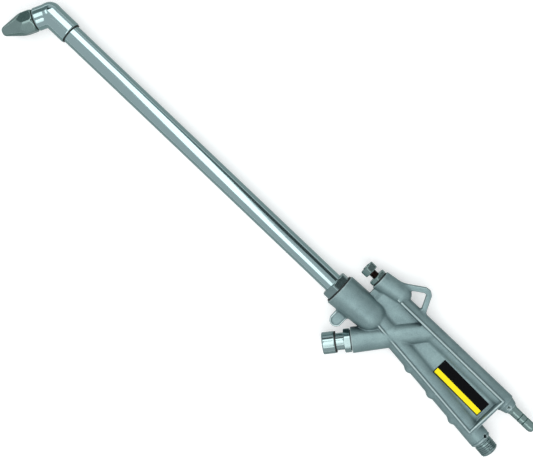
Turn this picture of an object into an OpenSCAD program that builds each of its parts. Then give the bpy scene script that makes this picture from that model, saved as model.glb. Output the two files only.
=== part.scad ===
// Siphon engine-cleaning air gun, lying on its side: +X runs along the wand to
// the nozzle, +Y points to the finger side of the handle and +Z to the labelled side.
// The origin is the centre of the air inlet's outer end. Lengths in millimetres.

/* [Wand] */
// Outer diameter of the wand tube
wand_od = 14; // [12:0.5:16]
// Bore of the wand tube
wand_id = 12; // [9:0.5:12.5]
// Barrel mouth to the centre of the elbow's bend
wand_reach = 275.2; // [120:0.1:500]
// Length of the tube that lies inside the barrel
wand_inset = 20.5; // [18:0.5:24]

/* [Elbow and nozzle] */
// Outer diameter of both elbow legs
elbow_d = 16.5; // [16.2:0.1:20]
// Bend of the elbow, away from the wand's line
elbow_angle = 63; // [0:1:90]
// Bend centre to the open end of the leg that holds the tube
elbow_socket_len = 19.2; // [14:0.1:30]
// Bend centre to the face that the nozzle seats on
elbow_leg_len = 10.8; // [9.8:0.1:20]
// Flow bore through the elbow
elbow_bore_d = 9; // [6:0.5:10]
// Nozzle across its flats
nozzle_af = 15.5; // [14:0.5:18]
// Bore of the nozzle behind its taper
nozzle_bore_d = 8; // [5:0.1:9]
// Whole length of the nozzle outside the elbow
nozzle_len = 24.4; // [18:0.1:30]
// Length of the nozzle's full hexagon
nozzle_hex_len = 6.4; // [4:0.1:9]
// Outer diameter at the nozzle's tip
nozzle_tip_d = 6.8; // [5:0.1:9]
// Outlet bore of the nozzle
nozzle_outlet_d = 3; // [1.5:0.1:4]
// Thickness of the gasket under the nozzle
nozzle_gasket_t = 0.8; // [0.5:0.1:1.5]

/* [Barrel] */
// Wall of the barrel around the gland's counterbore
gland_wall = 3.6; // [3:0.1:5]
// Outer diameter of the barrel's closed dome
barrel_dome_d = 22.8; // [22:0.2:26]
// Barrel mouth to the centre of the dome, along the wand
barrel_dome_x = 27.6; // [25:0.1:34]
// Sideways offset of the dome's centre toward the needle valve
barrel_dome_y = 1.7; // [0:0.1:3]
// Diameter of the gland's counterbore
gland_bore_d = 17.2; // [17:0.1:19]
// Depth of the gland's counterbore
gland_depth = 12; // [11:0.1:14]
// Gland nut across its flats
gland_nut_af = 19; // [17.5:0.5:22]
// Length of the gland nut's hexagon
gland_hex_len = 5.2; // [3:0.1:9]
// Length of the gland nut's threaded spigot, inside the barrel
gland_spigot_len = 5.5; // [4:0.1:6.5]
// Thickness of the fibre ring between the nut and the barrel
gland_gasket_t = 0.9; // [0.5:0.1:1.5]
// Thickness of the washer that presses on the packing
gland_washer_t = 1; // [0.6:0.1:1.6]
// Length of the ferrule that keeps the wand in
ferrule_len = 2.5; // [1.5:0.1:3]

/* [Air jet] */
// Diameter of the chamber where air and fluid mix
mixing_d = 11.6; // [10:0.1:12]
// Barrel mouth to the bottom of the mixing chamber
mixing_end_x = 33; // [32:0.1:34]
// Thread diameter of the jet
jet_thread_d = 7; // [6:0.5:8]
// Thread length of the jet
jet_thread_len = 6; // [4:0.5:7]
// Diameter of the jet's hexagonal shoulder, across flats
jet_af = 8; // [7.5:0.5:9]
// Barrel mouth to the tip of the jet
jet_tip_x = 17; // [15:0.5:19]
// Bore at the jet's tip
jet_tip_bore_d = 2.2; // [1:0.1:3]
// Air passage from the valve to the jet
jet_passage_d = 4; // [2.5:0.1:4.5]

/* [Push valve] */
// Outer diameter of the valve branch
branch_d = 18.2; // [15.6:0.1:19]
// Place of the branch's mouth, behind the barrel mouth
branch_mouth_x = 30.4; // [29:0.1:33]
// Place of the branch's mouth, to the finger side of the wand
branch_mouth_y = 19.9; // [18:0.1:23]
// Direction in which the branch opens, measured from the wand
branch_angle = 51.5; // [49:0.1:54]
// Length of the branch to its blind end in the handle
branch_len = 51; // [49:0.5:54]
// Thread diameter of the valve collar
collar_thread_d = 12; // [11:0.5:12.5]
// Thread length of the valve collar
collar_thread_len = 8; // [6:0.5:10]
// Valve collar across its flats
collar_af = 15; // [13:0.5:17]
// Length of the collar's hexagon
collar_hex_len = 4.5; // [3:0.1:6]
// Diameter of the neck that the button slides on
collar_neck_d = 12; // [10:0.1:12.6]
// Thickness of the gasket under the collar
collar_gasket_t = 0.6; // [0.4:0.1:1]
// Outer diameter of the push button
button_d = 15.4; // [13.5:0.1:16.5]
// Length of the push button
button_len = 9.7; // [9:0.1:14]
// Neck that shows between the collar and the released button
button_rise = 5.5; // [5:0.1:7]
// Travel of the push button
button_travel = 4.5; // [3:0.1:4.5]
// Diameter of the valve bore above the seat
valve_bore_d = 9.5; // [8.5:0.1:10]
// Diameter of the valve bore below the seat
spring_bore_d = 8.5; // [8:0.1:9]
// Branch mouth to the face of the seat that the valve closes on
seat_depth = 30.6; // [29.6:0.1:31]
// Length of the seat insert
seat_len = 3; // [2:0.1:3.4]
// Opening through the seat
seat_opening_d = 5.2; // [4:0.1:5.6]
// Branch mouth to the bottom of the valve bore
valve_bore_depth = 44; // [43:0.1:45]
// Diameter of the valve stem
stem_d = 3.2; // [2.5:0.1:3.2]
// Diameter of the valve disc
poppet_d = 7.2; // [6.8:0.1:7.4]
// Thickness of the valve disc
poppet_t = 1.5; // [1:0.1:2]
// Thickness of the disc's rubber facing
facing_t = 1.2; // [0.8:0.1:1.5]
// Wire diameter of the return spring
spring_wire_d = 0.7; // [0.5:0.05:0.8]
// Turns of the return spring
spring_turns = 6; // [4:1:7]

/* [Needle valve] */
// Diameter of the needle boss at its mouth
boss_mouth_d = 14.6; // [13.8:0.1:16]
// Diameter of the needle boss at its rounded end
boss_end_d = 14; // [13.6:0.1:15]
// Mouth of the needle boss, behind the barrel mouth
boss_mouth_x = 15.4; // [14:0.1:17]
// Needle axis, to the loop side of the wand
needle_y = 24.1; // [23.8:0.1:25]
// Centre of the boss's rounded end, behind the barrel mouth
boss_end_x = 33; // [32:0.1:35]
// Centre of the boss's rounded end, to the loop side of the wand
boss_end_y = 27; // [26:0.1:28]
// Diameter of the packing nut's thread
packing_thread_d = 8.6; // [8:0.1:9]
// Length of the packing nut's thread
packing_thread_len = 5; // [3.5:0.1:5.5]
// Packing nut across its flats
packing_nut_af = 12.3; // [10:0.1:12.8]
// Length of the packing nut's hexagon
packing_hex_len = 2.6; // [1.8:0.1:4]
// Thickness of the black ring under the packing nut
packing_gasket_t = 1.1; // [0.6:0.1:1.5]
// Length of the packing in its chamber
packing_len = 2.6; // [2:0.1:3]
// Diameter of the needle's threaded stem
needle_d = 5.5; // [5:0.1:5.8]
// Diameter of the chamber around the needle
needle_chamber_d = 5.9; // [5.8:0.1:6.2]
// Barrel mouth to the needle's seat
needle_seat_x = 33; // [32.6:0.1:33.4]
// Opening of the needle's seat
needle_seat_d = 3; // [2:0.1:3.4]
// Advance of the needle from open to shut
needle_travel = 2.4; // [1:0.1:3]
// Stem that shows between the packing nut and the knob when open
needle_rise = 4; // [3.5:0.1:6]
// Knob across its flats
knob_af = 10; // [8:0.1:14]
// Thickness of the knob
knob_t = 5.2; // [3.5:0.1:7]
// Cross passage from the needle chamber to the mixing chamber
cross_port_d = 3; // [2:0.1:3.5]

/* [Handle] */
// Diameter of the cast tube on the finger side
front_tube_d = 15.2; // [14.6:0.1:17]
// Slope of the finger side against the wand
front_slope = 6.33; // [5.5:0.01:7]
// End of the air inlet's boss, behind the barrel mouth
inlet_boss_x = 143.5; // [135:0.1:170]
// Centre of the air inlet's boss, to the finger side of the wand
inlet_boss_y = 8.35; // [7.5:0.05:10]
// Diameter of the cast tube on the loop side
rear_tube_d = 13.6; // [13:0.1:15]
// Axis of the rear tube, to the loop side of the wand
rear_tube_y = 22.1; // [21.8:0.1:23]
// Outer face of the handle's end wall, behind the barrel mouth
end_wall_x = 134.1; // [128:0.1:158]
// Run of the rear tube past the end wall
rear_tube_past = 2.3; // [0.5:0.1:3]
// Thickness of the end wall
end_wall_t = 3; // [2:0.1:5]
// Height of the end wall over the whole handle
end_wall_h = 14.6; // [12:0.1:15]
// Thickness of the web between the tubes
web_t = 7.6; // [7:0.1:9]
// Height of the bead that frames the hollow, over the whole handle
bead_h = 17.4; // [16:0.1:18]
// Width of the bead
bead_w = 1.5; // [0.8:0.1:2]
// Run of the bead's end line toward the wand, at the finger side
bead_skew = 1.1; // [0:0.1:1.5]
// Distance between the finger ridges
ridge_pitch = 23; // [16:0.5:25]
// Barrel mouth to the first finger ridge
ridge_first_x = 72.3; // [68:0.1:76]
// Diameter of a finger ridge
ridge_d = 7.6; // [6:0.1:9]
// Rise of a finger ridge over the tube
ridge_rise = 1.4; // [1:0.1:2.6]
// Length of a finger ridge across the handle, between its domed ends
ridge_len = 4; // [2:0.1:8]

/* [Passages and fittings] */
// Air passage in the front tube
air_passage_d = 5.5; // [4:0.1:6]
// Fluid passage in the rear tube
fluid_passage_d = 5; // [4:0.1:6]
// Thread diameter of the air inlet, a quarter-inch pipe thread
inlet_thread_d = 13.16; // [12.4:0.02:14]
// Thread length of the air inlet
inlet_thread_len = 8.7; // [7:0.1:14]
// Chamfer round the end of the air inlet's boss
inlet_chamfer = 1.2; // [0.5:0.1:1.5]
// Width of the groove turned round the air inlet's boss
inlet_groove_w = 0.6; // [0.4:0.1:1]
// Neck between the boss and the inlet's thread
inlet_neck_len = 1; // [0.6:0.1:2]
// Diameter of the inlet's screwed-in spigot
inlet_spigot_d = 10; // [9:0.1:11]
// Length of the inlet's screwed-in spigot
inlet_spigot_len = 9; // [6:0.1:12]
// Diameter of the fluid fitting's boss at the rear tube's end
barb_boss_d = 12.8; // [11.6:0.1:13.5]
// Diameter of the fluid fitting's boss at its end
barb_boss_end_d = 9.6; // [9.4:0.1:11]
// End of the fluid fitting's boss, behind the barrel mouth
barb_boss_x = 141.6; // [135:0.1:165]
// Diameter of the hose tail at its crests
barb_crest_d = 7; // [6:0.1:8]
// Diameter of the hose tail in its notches
barb_root_d = 5.8; // [5:0.1:6]
// Tip of the hose tail to its first notch
barb_first = 8.2; // [4:0.1:9]
// Distance between the notches
barb_pitch = 4.3; // [3:0.1:5]
// Length of the hose tail outside the boss
barb_len = 21.2; // [18:0.1:30]
// Bore of the hose tail and of the inlet
fitting_bore_d = 4; // [3:0.1:4.4]
// Diameter of the two grub screws that lock the fittings
lock_screw_d = 2.4; // [2:0.1:3]

/* [Hang loop and ear] */
// Length of the hang loop along the handle, from the needle boss's rounded end
loop_len = 21.6; // [19:0.1:26]
// Reach of the hang loop beyond the needle boss's centre
loop_reach = 15.8; // [14:0.1:20]
// Thickness of the hang loop
loop_t = 5; // [4:0.1:8]
// Width of the hang loop's strip
loop_w = 3.9; // [3:0.1:4.2]
// Thickness of the cast ear
ear_t = 4.4; // [3:0.1:6]
// Width of the cast ear
ear_w = 9.2; // [8:0.1:11]
// Barrel mouth to the middle of the ear
ear_x = 13; // [11:0.1:14]
// Wand axis to the ear's rounded tip
ear_reach = 21.6; // [20:0.1:24]

/* [Hidden] */

// Smoothness of round surfaces
$fn = 64;
// Run of a cut past the face it opens
over = 1;
// Radial play of a shaft, stem or button in its bore
run_clear = 0.06;
// Radial play of a soft ring around a moving shaft
soft_clear = 0.12;
// Radial play of a thread or a bush in its bore, drawn as plain cylinders
thread_clear = 0.04;
// Play at faces that turn or close on each other
face_clear = 0.05;

// Plan directions as unit vectors
function heading(a) = [cos(a), sin(a)];
// Plan place of a point on the valve's axis, by its depth below the branch's mouth
function valve_at(s) = [-branch_mouth_x, branch_mouth_y] - s * heading(branch_angle);
// Corner circle of a hexagon, from its size across flats
function hex_d(af) = af / cos(30);

// Sizes that hang on one piece and need no setting
inlet_end_len = inlet_neck_len + inlet_thread_len;
button_end_wall = 1.5;
bumper_len = 1;
bumper_step = 0.2;
disc_nut_len = 1.8;
disc_nut_af = 4.6;
spring_play = 0.7;
stem_seal_wire = 1.5;
packing_washer_t = 0.8;
knob_screw_head_t = 1;
knob_screw_d = 2.4;
needle_taper_len = 4;
needle_point_d = 1.2;
nozzle_thread_d = 10.4;
elbow_seam_t = 0.7;
elbow_step = 0.3;
barb_spigot_d = 6.6;
barb_spigot_len = 7;
barb_tip_len = 2.6;
// Turn of the inlet's lock screw about the front tube, from straight up
inlet_lock_turn = 40;
// Distance of each lock screw from the end of its boss
inlet_lock_inset = 2.6;
barb_lock_inset = 2.6;

// Outer diameter of the barrel at its mouth
barrel_mouth_d = gland_bore_d + 2 * gland_wall;

// Main points of the plan
front_angle = -front_slope;
inlet_boss = [-inlet_boss_x, inlet_boss_y];
inlet_face = inlet_boss - inlet_end_len * heading(front_angle);
barb_boss = [-barb_boss_x, -rear_tube_y];
dome = [-barrel_dome_x, -barrel_dome_y];
barrel_angle = atan2(barrel_dome_y, barrel_dome_x);
boss_end = [-boss_end_x, -boss_end_y];
boss_mouth = [-boss_mouth_x, -needle_y];
boss_angle = atan2(boss_end_y - needle_y, boss_end_x - boss_mouth_x);
needle_seat = [-needle_seat_x, -needle_y];

// Places along the wand and its gland, counted from the barrel mouth
gland_packing_len = gland_depth - gland_spigot_len - gland_washer_t - ferrule_len;
gland_nut_end = gland_gasket_t + gland_hex_len;
elbow_seam_x = wand_reach - elbow_socket_len;
tube_end_x = wand_reach - elbow_socket_len / 3;

// Places along the push valve, as depths below the branch's mouth
collar_foot = -collar_gasket_t;
collar_top = collar_foot - collar_hex_len;
button_foot = collar_top - button_rise;
button_top = button_foot - button_len;
button_floor = button_top + button_end_wall;
neck_top = button_floor + button_travel + button_end_wall / 3;
stem_top = button_top + button_end_wall / 2;
stem_seal_depth = collar_thread_len - 2 * stem_seal_wire;
disc_face = seat_depth + face_clear + facing_t;
disc_back = disc_face + poppet_t;
stem_end = disc_back + disc_nut_len + thread_clear;
spring_od = spring_bore_d - 2 * spring_play;

// Places along the needle, behind the barrel mouth
packing_foot = boss_mouth_x + packing_thread_len;
packing_end = packing_foot + packing_washer_t + packing_len;
packing_top = boss_mouth_x - packing_gasket_t - packing_hex_len;
knob_foot = packing_top - needle_rise;
knob_top = knob_foot - knob_t;

// Handle outline
front_tube_len = (inlet_boss_x - barrel_dome_x) / cos(front_slope);
end_wall_inner_x = end_wall_x - end_wall_t;
rear_tube_x = end_wall_x + rear_tube_past;
bead_front_gap = 2.3;
bead_top_x = 36.5;
bead_bottom_x = end_wall_x - end_wall_t / 2;
// Place of the front tube's axis, at a distance behind the barrel mouth
function front_axis_y(x) = inlet_boss_y - (inlet_boss_x - x) * tan(front_slope);

// Hang loop's outer corners, as shares of its length and reach from the boss's centre
loop_shares = [[-1, 0.06], [-0.72, 0.88], [-0.59, 1], [-0.42, 0.98], [0.28, 0.34]];
loop_outline = [for (p = loop_shares) boss_end + [p.x * loop_len, -p.y * loop_reach]];
// Edge of the loop's window along the rear tube
window_edge_y = -rear_tube_y - rear_tube_d / 2 - bead_w / 2;

// Turns a solid's own Z axis to the plan direction a, from plan point p
module along(p, a) {
    translate([p.x, p.y, 0]) rotate([0, 0, a]) rotate([0, 90, 0]) children();
}

// Places a solid on the valve's axis, its Z axis running inward from depth s
module on_valve(s) {
    along(valve_at(s), branch_angle + 180) children();
}

// Shaft of diameter d from plan point p, along the plan direction a
module rod(p, a, d, len) {
    along(p, a) cylinder(d = d, h = len);
}

// Hexagonal prism with its ends turned to a cone at the corners
module hex_bar(af, len, front = true, back = true) {
    bevel = (hex_d(af) - af) / 2;
    wide = af / 2 + 2 * bevel;
    intersection() {
        cylinder(d = hex_d(af), h = len, $fn = 6);
        rotate_extrude() polygon([
            [0, 0],
            [back ? af / 2 : wide, 0],
            [wide, bevel],
            [wide, len - bevel],
            [front ? af / 2 : wide, len],
            [0, len],
        ]);
    }
}

// Plain ring with its foot at zero
module ring(od, id, len) {
    difference() {
        cylinder(d = od, h = len);
        translate([0, 0, -over]) cylinder(d = id, h = len + 2 * over);
    }
}

// Plate in the plan, centred on the middle plane
module plate(points, t) {
    translate([0, 0, -t / 2]) linear_extrude(t) polygon(points);
}

// Mitred corner of a strip, offset sideways by w from its path
function mitre_at(path, i, w) =
    let(
        before = path[max(i - 1, 0)],
        after = path[min(i + 1, len(path) - 1)],
        here = path[i],
        in_run = i == 0 ? after - here : here - before,
        out_run = i == len(path) - 1 ? here - before : after - here,
        in_side = [-in_run.y, in_run.x] / norm(in_run),
        out_side = [-out_run.y, out_run.x] / norm(out_run),
        side = (in_side + out_side) / norm(in_side + out_side)
    )
    here + w / (side * in_side) * side;

// Outline of a strip of even width along an open path
function strip_points(path, w) = concat(
    [for (i = [0:len(path) - 1]) mitre_at(path, i, w / 2)],
    [for (i = [len(path) - 1:-1:0]) mitre_at(path, i, -w / 2)]
);

// Cone with a domed foot centred on zero, turned from one profile
module domed_cone(foot_d, top_d, len) {
    rotate_extrude() intersection() {
        union() {
            circle(d = foot_d);
            polygon([[0, 0], [foot_d / 2, 0], [top_d / 2, len], [0, len]]);
        }
        translate([0, -foot_d]) square([foot_d + top_d, foot_d + len]);
    }
}

// Barrel with its closed dome, cut square at the mouth
module barrel_outer() {
    barrel_len = barrel_dome_x / cos(barrel_angle);
    difference() {
        along(dome, barrel_angle) domed_cone(barrel_dome_d, barrel_mouth_d, barrel_len + over);
        translate([0, -barrel_mouth_d, -barrel_mouth_d]) cube(2 * barrel_mouth_d);
    }
}

// Needle boss, cut square to the needle at its mouth
module needle_boss_outer() {
    boss_len = (boss_end_x - boss_mouth_x) / cos(boss_angle);
    difference() {
        along(boss_end, boss_angle) domed_cone(boss_end_d, boss_mouth_d, boss_len + 2 * over);
        translate([-boss_mouth_x, -needle_y - boss_mouth_d, -boss_mouth_d]) cube(2 * boss_mouth_d);
    }
}

// Web that joins the barrel, the needle boss and both tubes of the handle
module web_outer() {
    web_front_x = boss_mouth_x + bead_w;
    plate([
        [-web_front_x, -barrel_dome_d / 2],
        [-web_front_x, boss_mouth.y + boss_mouth_d / 4],
        boss_end,
        [-barrel_dome_x - boss_end_d, -rear_tube_y],
        [-end_wall_x + end_wall_t, -rear_tube_y],
        [-end_wall_x + end_wall_t, inlet_boss_y],
        [-barrel_dome_x, front_axis_y(barrel_dome_x)],
    ], web_t);
}

// End wall across both tubes
module end_wall() {
    plate([
        [-end_wall_x, -rear_tube_y],
        [-end_wall_x, inlet_boss_y],
        [-end_wall_inner_x, inlet_boss_y],
        [-end_wall_inner_x, -rear_tube_y],
    ], end_wall_h);
}

// Round bar with domed ends, its length between the domes' centres
module capsule(d, len) {
    translate([0, 0, -len / 2]) rotate_extrude() intersection() {
        union() {
            circle(d = d);
            square([d / 2, len]);
            translate([0, len]) circle(d = d);
        }
        translate([0, -d]) square([d, len + 2 * d]);
    }
}

// Finger ridges along the front tube
module finger_ridges() {
    inset = front_tube_d / 2 + ridge_rise - ridge_d / 2;
    for (i = [0:2]) {
        x = ridge_first_x + i * ridge_pitch;
        translate([-x, front_axis_y(x) + inset, 0]) capsule(ridge_d, ridge_len);
    }
}

// Bead that frames the hollow on both faces of the handle
module bead_frame() {
    front_top = [-bead_top_x, front_axis_y(bead_top_x) + bead_front_gap];
    front_bottom = [bead_skew - bead_bottom_x, front_axis_y(bead_bottom_x) + bead_front_gap * 2 / 3];
    rear_bottom = [-bead_bottom_x, -rear_tube_y - bead_w / 3];
    rear_top = [-bead_top_x, -rear_tube_y - bead_w];
    plate(strip_points([front_top, front_bottom, rear_bottom, rear_top], bead_w), bead_h);
}

// Point where the line through p and q meets the window's edge along the tube
function on_window_edge(p, q) = p + (window_edge_y - p.y) / (q.y - p.y) * (q - p);

// Hang loop, a strip of even width joined to the needle boss and the rear tube
module hang_loop() {
    inner = [for (i = [0:4]) mitre_at(loop_outline, i, loop_w)];
    foot = [[0, loop_shares[0].y * loop_reach], [loop_shares[0].x * loop_len, loop_w]];
    difference() {
        plate(concat(loop_outline, [for (p = foot) boss_end + p]), loop_t);
        plate([
            on_window_edge(inner[0], inner[1]),
            inner[1],
            inner[2],
            inner[3],
            on_window_edge(inner[3], inner[4]),
        ], 2 * loop_t);
    }
}

// Cast ear on the finger side, with a sunk face on both sides
module ear() {
    tip = [-ear_x, ear_reach - ear_w / 2];
    rim = ear_w / 8;
    sunk = ear_t / 8;
    difference() {
        union() {
            translate([tip.x, tip.y, -ear_t / 2]) cylinder(d = ear_w, h = ear_t);
            translate([tip.x - ear_w / 2, 0, -ear_t / 2]) cube([ear_w, tip.y, ear_t]);
        }
        for (foot = [ear_t / 2 - sunk, -ear_t / 2 - over]) translate([tip.x, tip.y, foot]) {
            cylinder(d = ear_w - 2 * rim, h = sunk + over);
            translate([-ear_w / 2 + rim, -ear_w, 0]) cube([ear_w - 2 * rim, ear_w, sunk + over]);
        }
    }
}

// Bores of the barrel: gland, wand, mixing chamber, jet and its air passage
module barrel_bores() {
    jet_end = mixing_end_x + jet_thread_len;
    crossing = branch_mouth_x + branch_mouth_y / tan(branch_angle);
    rod([-gland_depth, 0], 0, gland_bore_d, gland_depth + over);
    rod([-wand_inset - face_clear, 0], 0, wand_od + 2 * run_clear, wand_inset + over);
    rod([-mixing_end_x, 0], 0, mixing_d, mixing_end_x);
    rod([-jet_end, 0], 0, jet_thread_d + 2 * thread_clear, jet_thread_len + over);
    rod([-crossing, 0], 0, jet_passage_d, crossing - jet_end + over);
}

// Bores of the push valve and the air passage that feeds it
module valve_bores() {
    feed = valve_at(seat_depth + poppet_t) - inlet_boss;
    on_valve(-over) cylinder(d = collar_thread_d + 2 * thread_clear, h = collar_thread_len + over);
    on_valve(0) cylinder(d = valve_bore_d, h = seat_depth);
    on_valve(0) cylinder(d = spring_bore_d, h = valve_bore_depth);
    rod(inlet_boss, atan2(feed.y, feed.x), air_passage_d, norm(feed));
    rod(inlet_boss - over * heading(front_angle), front_angle, inlet_spigot_d + 2 * thread_clear,
        inlet_spigot_len + over);
}

// Bores of the needle valve, the fluid passage and the cross passage
module needle_bores() {
    mouth = [-packing_end, -needle_y];
    fluid_top = needle_seat_x + needle_seat_d;
    cross_x = (needle_seat_x + packing_end) / 2;
    rod(mouth, 0, packing_thread_d + 2 * thread_clear, packing_end - boss_mouth_x + over);
    rod(needle_seat, 0, needle_chamber_d, needle_seat_x - boss_mouth_x);
    rod([-fluid_top - over, -needle_y], 0, needle_seat_d, needle_seat_d + 2 * over);
    rod([-barb_boss_x, -rear_tube_y], 0, fluid_passage_d, barb_boss_x - fluid_top);
    rod([-cross_x, -needle_y], 90, cross_port_d, needle_y - mixing_d / 4);
    rod(barb_boss - [over, 0], 0, barb_spigot_d + 2 * thread_clear, barb_spigot_len + 2 * over);
}

// Places a solid as the inlet's lock screw, its Z axis pointing out of the boss
module at_inlet_lock() {
    along(inlet_boss + inlet_lock_inset * heading(front_angle), front_angle)
        rotate([0, 0, -inlet_lock_turn]) rotate([0, -90, 0]) children();
}

module at_barb_lock() {
    along(barb_boss + [barb_lock_inset, 0], 0) rotate([0, -90, 0]) children();
}

// Hole of a lock screw, from the fitting's spigot out through the boss
module lock_hole(spigot_d, boss_d) {
    translate([0, 0, spigot_d / 4]) cylinder(d = lock_screw_d + 2 * thread_clear, h = boss_d);
}

// Grub screw with a hexagonal socket, just below the boss's surface
module grub_screw(spigot_d, boss_d) {
    socket_af = lock_screw_d / 2;
    len = (boss_d - spigot_d) / 2 - lock_screw_d / 5;
    translate([0, 0, spigot_d / 2 + 2 * thread_clear]) difference() {
        cylinder(d = lock_screw_d, h = len);
        translate([0, 0, len / 2]) cylinder(d = hex_d(socket_af), h = len, $fn = 6);
    }
}

// Cast tube on the finger side, with a chamfer and a groove at the inlet's end
module front_tube() {
    r = front_tube_d / 2;
    mid = inlet_lock_inset;
    half = inlet_groove_w / 2;
    along(inlet_boss, front_angle) rotate_extrude() polygon([
        [0, 0],
        [r - inlet_chamfer, 0],
        [r, inlet_chamfer],
        [r, mid - half],
        [r - half, mid - half / 2],
        [r - half, mid + half / 2],
        [r, mid + half],
        [r, front_tube_len],
        [0, front_tube_len],
    ]);
}

// Boss of the fluid fitting, tapered from the rear tube to the hose tail
module barb_boss_outer() {
    along(barb_boss, 0) cylinder(d1 = barb_boss_end_d, d2 = barb_boss_d, h = barb_boss_x - rear_tube_x);
    rod([-rear_tube_x - over / 2, -rear_tube_y], 0, rear_tube_d - over, over);
}

module body_casting() {
    color([0.55, 0.62, 0.62]) difference() {
        union() {
            barrel_outer();
            needle_boss_outer();
            on_valve(0) cylinder(d = branch_d, h = branch_len);
            front_tube();
            rod([-rear_tube_x, -rear_tube_y], 0, rear_tube_d, rear_tube_x - boss_end_x);
            barb_boss_outer();
            web_outer();
            end_wall();
            bead_frame();
            finger_ridges();
            hang_loop();
            ear();
        }
        barrel_bores();
        valve_bores();
        needle_bores();
        at_inlet_lock() lock_hole(inlet_spigot_d, front_tube_d);
        at_barb_lock() lock_hole(barb_spigot_d, barb_boss_d);
    }
}

module wand_tube() {
    color([0.72, 0.78, 0.78]) along([-wand_inset, 0], 0)
        ring(wand_od, wand_id, tube_end_x + wand_inset);
}

module wand_ferrule() {
    color("goldenrod") along([-gland_depth + face_clear, 0], 0)
        ring(gland_bore_d - 2 * run_clear, wand_od, ferrule_len - 2 * face_clear);
}

module elbow() {
    bend = [wand_reach, 0];
    nozzle_spigot_len = elbow_leg_len - elbow_bore_d / 2;
    color([0.7, 0.76, 0.76]) difference() {
        union() {
            along(bend, 180) domed_cone(elbow_d, elbow_d, elbow_socket_len);
            along(bend, elbow_angle) domed_cone(elbow_d - elbow_step, elbow_d, elbow_leg_len);
        }
        rod([elbow_seam_x - over, 0], 0, wand_od, tube_end_x - elbow_seam_x + over);
        rod([elbow_seam_x, 0], 0, elbow_bore_d, elbow_socket_len);
        along(bend, elbow_angle) domed_cone(elbow_bore_d + elbow_step, elbow_bore_d, elbow_leg_len + over);
        rod(bend + (elbow_bore_d / 2) * heading(elbow_angle), elbow_angle,
            nozzle_thread_d + 2 * thread_clear, nozzle_spigot_len + over);
    }
}

module elbow_seam_ring() {
    color([0.12, 0.14, 0.14]) along([elbow_seam_x - elbow_seam_t, 0], 0)
        ring(elbow_d - elbow_seam_t, wand_od, elbow_seam_t);
}

module nozzle() {
    seat = [wand_reach, 0] + (elbow_leg_len + nozzle_gasket_t) * heading(elbow_angle);
    spigot_len = elbow_leg_len - elbow_bore_d / 2 - thread_clear;
    corner_d = hex_d(nozzle_af);
    back_bevel = (corner_d - nozzle_af) / 2;
    tip_bevel = nozzle_tip_d / 6;
    color([0.45, 0.52, 0.52]) along(seat, elbow_angle) difference() {
        union() {
            translate([0, 0, -nozzle_gasket_t - spigot_len])
                cylinder(d = nozzle_thread_d, h = spigot_len + nozzle_gasket_t + over);
            intersection() {
                cylinder(d = corner_d, h = nozzle_len, $fn = 6);
                rotate_extrude() polygon([
                    [0, 0],
                    [nozzle_af / 2, 0],
                    [corner_d / 2 + back_bevel / 2, 2 * back_bevel],
                    [corner_d / 2 + back_bevel / 2, nozzle_hex_len],
                    [nozzle_tip_d / 2, nozzle_len - tip_bevel],
                    [nozzle_tip_d / 2 - tip_bevel, nozzle_len],
                    [0, nozzle_len],
                ]);
            }
        }
        translate([0, 0, -nozzle_gasket_t - spigot_len - over]) {
            cylinder(d = nozzle_bore_d, h = spigot_len + nozzle_gasket_t + nozzle_hex_len + over);
            cylinder(d = nozzle_outlet_d, h = nozzle_len + spigot_len + nozzle_gasket_t + 2 * over);
        }
        translate([0, 0, nozzle_hex_len])
            cylinder(d1 = nozzle_bore_d, d2 = nozzle_outlet_d, h = nozzle_len / 3);
    }
}

module nozzle_gasket() {
    seat = [wand_reach, 0] + elbow_leg_len * heading(elbow_angle);
    color([0.12, 0.14, 0.14]) along(seat, elbow_angle)
        ring(elbow_d - 2 * nozzle_gasket_t, nozzle_thread_d, nozzle_gasket_t);
}

module gland_nut() {
    color([0.3, 0.33, 0.33]) difference() {
        union() {
            along([gland_gasket_t, 0], 0) hex_bar(gland_nut_af, gland_hex_len, back = false);
            rod([-gland_spigot_len, 0], 0, gland_bore_d - 2 * thread_clear, gland_spigot_len + gland_gasket_t);
        }
        rod([-gland_spigot_len - over, 0], 0, wand_od + 2 * run_clear,
            gland_spigot_len + gland_nut_end + 2 * over);
    }
}

module gland_gasket() {
    color([0.1, 0.1, 0.1]) along([0, 0], 0)
        ring(gland_bore_d + 3 / 2 * gland_wall, gland_bore_d, gland_gasket_t);
}

module gland_washer() {
    color("silver") along([-gland_spigot_len - gland_washer_t, 0], 0)
        ring(gland_bore_d - 2 * thread_clear, wand_od + 2 * run_clear, gland_washer_t);
}

module gland_packing() {
    color([0.2, 0.2, 0.2]) along([-gland_depth + ferrule_len, 0], 0)
        ring(gland_bore_d - 2 * thread_clear, wand_od + 2 * soft_clear, gland_packing_len);
}

module air_jet() {
    shoulder_t = 1.6;
    tip_wall = 1;
    tip_len = mixing_end_x - jet_tip_x;
    color("goldenrod") along([-mixing_end_x, 0], 0) difference() {
        union() {
            translate([0, 0, -jet_thread_len]) cylinder(d = jet_thread_d, h = jet_thread_len + over);
            hex_bar(jet_af, 2 * shoulder_t, back = false);
            cylinder(d1 = jet_thread_d, d2 = jet_tip_bore_d + 2 * tip_wall, h = tip_len);
        }
        translate([0, 0, -jet_thread_len - over]) {
            cylinder(d = jet_passage_d, h = jet_thread_len + tip_len / 2 + over);
            cylinder(d = jet_tip_bore_d, h = jet_thread_len + tip_len + 2 * over);
        }
    }
}

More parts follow.
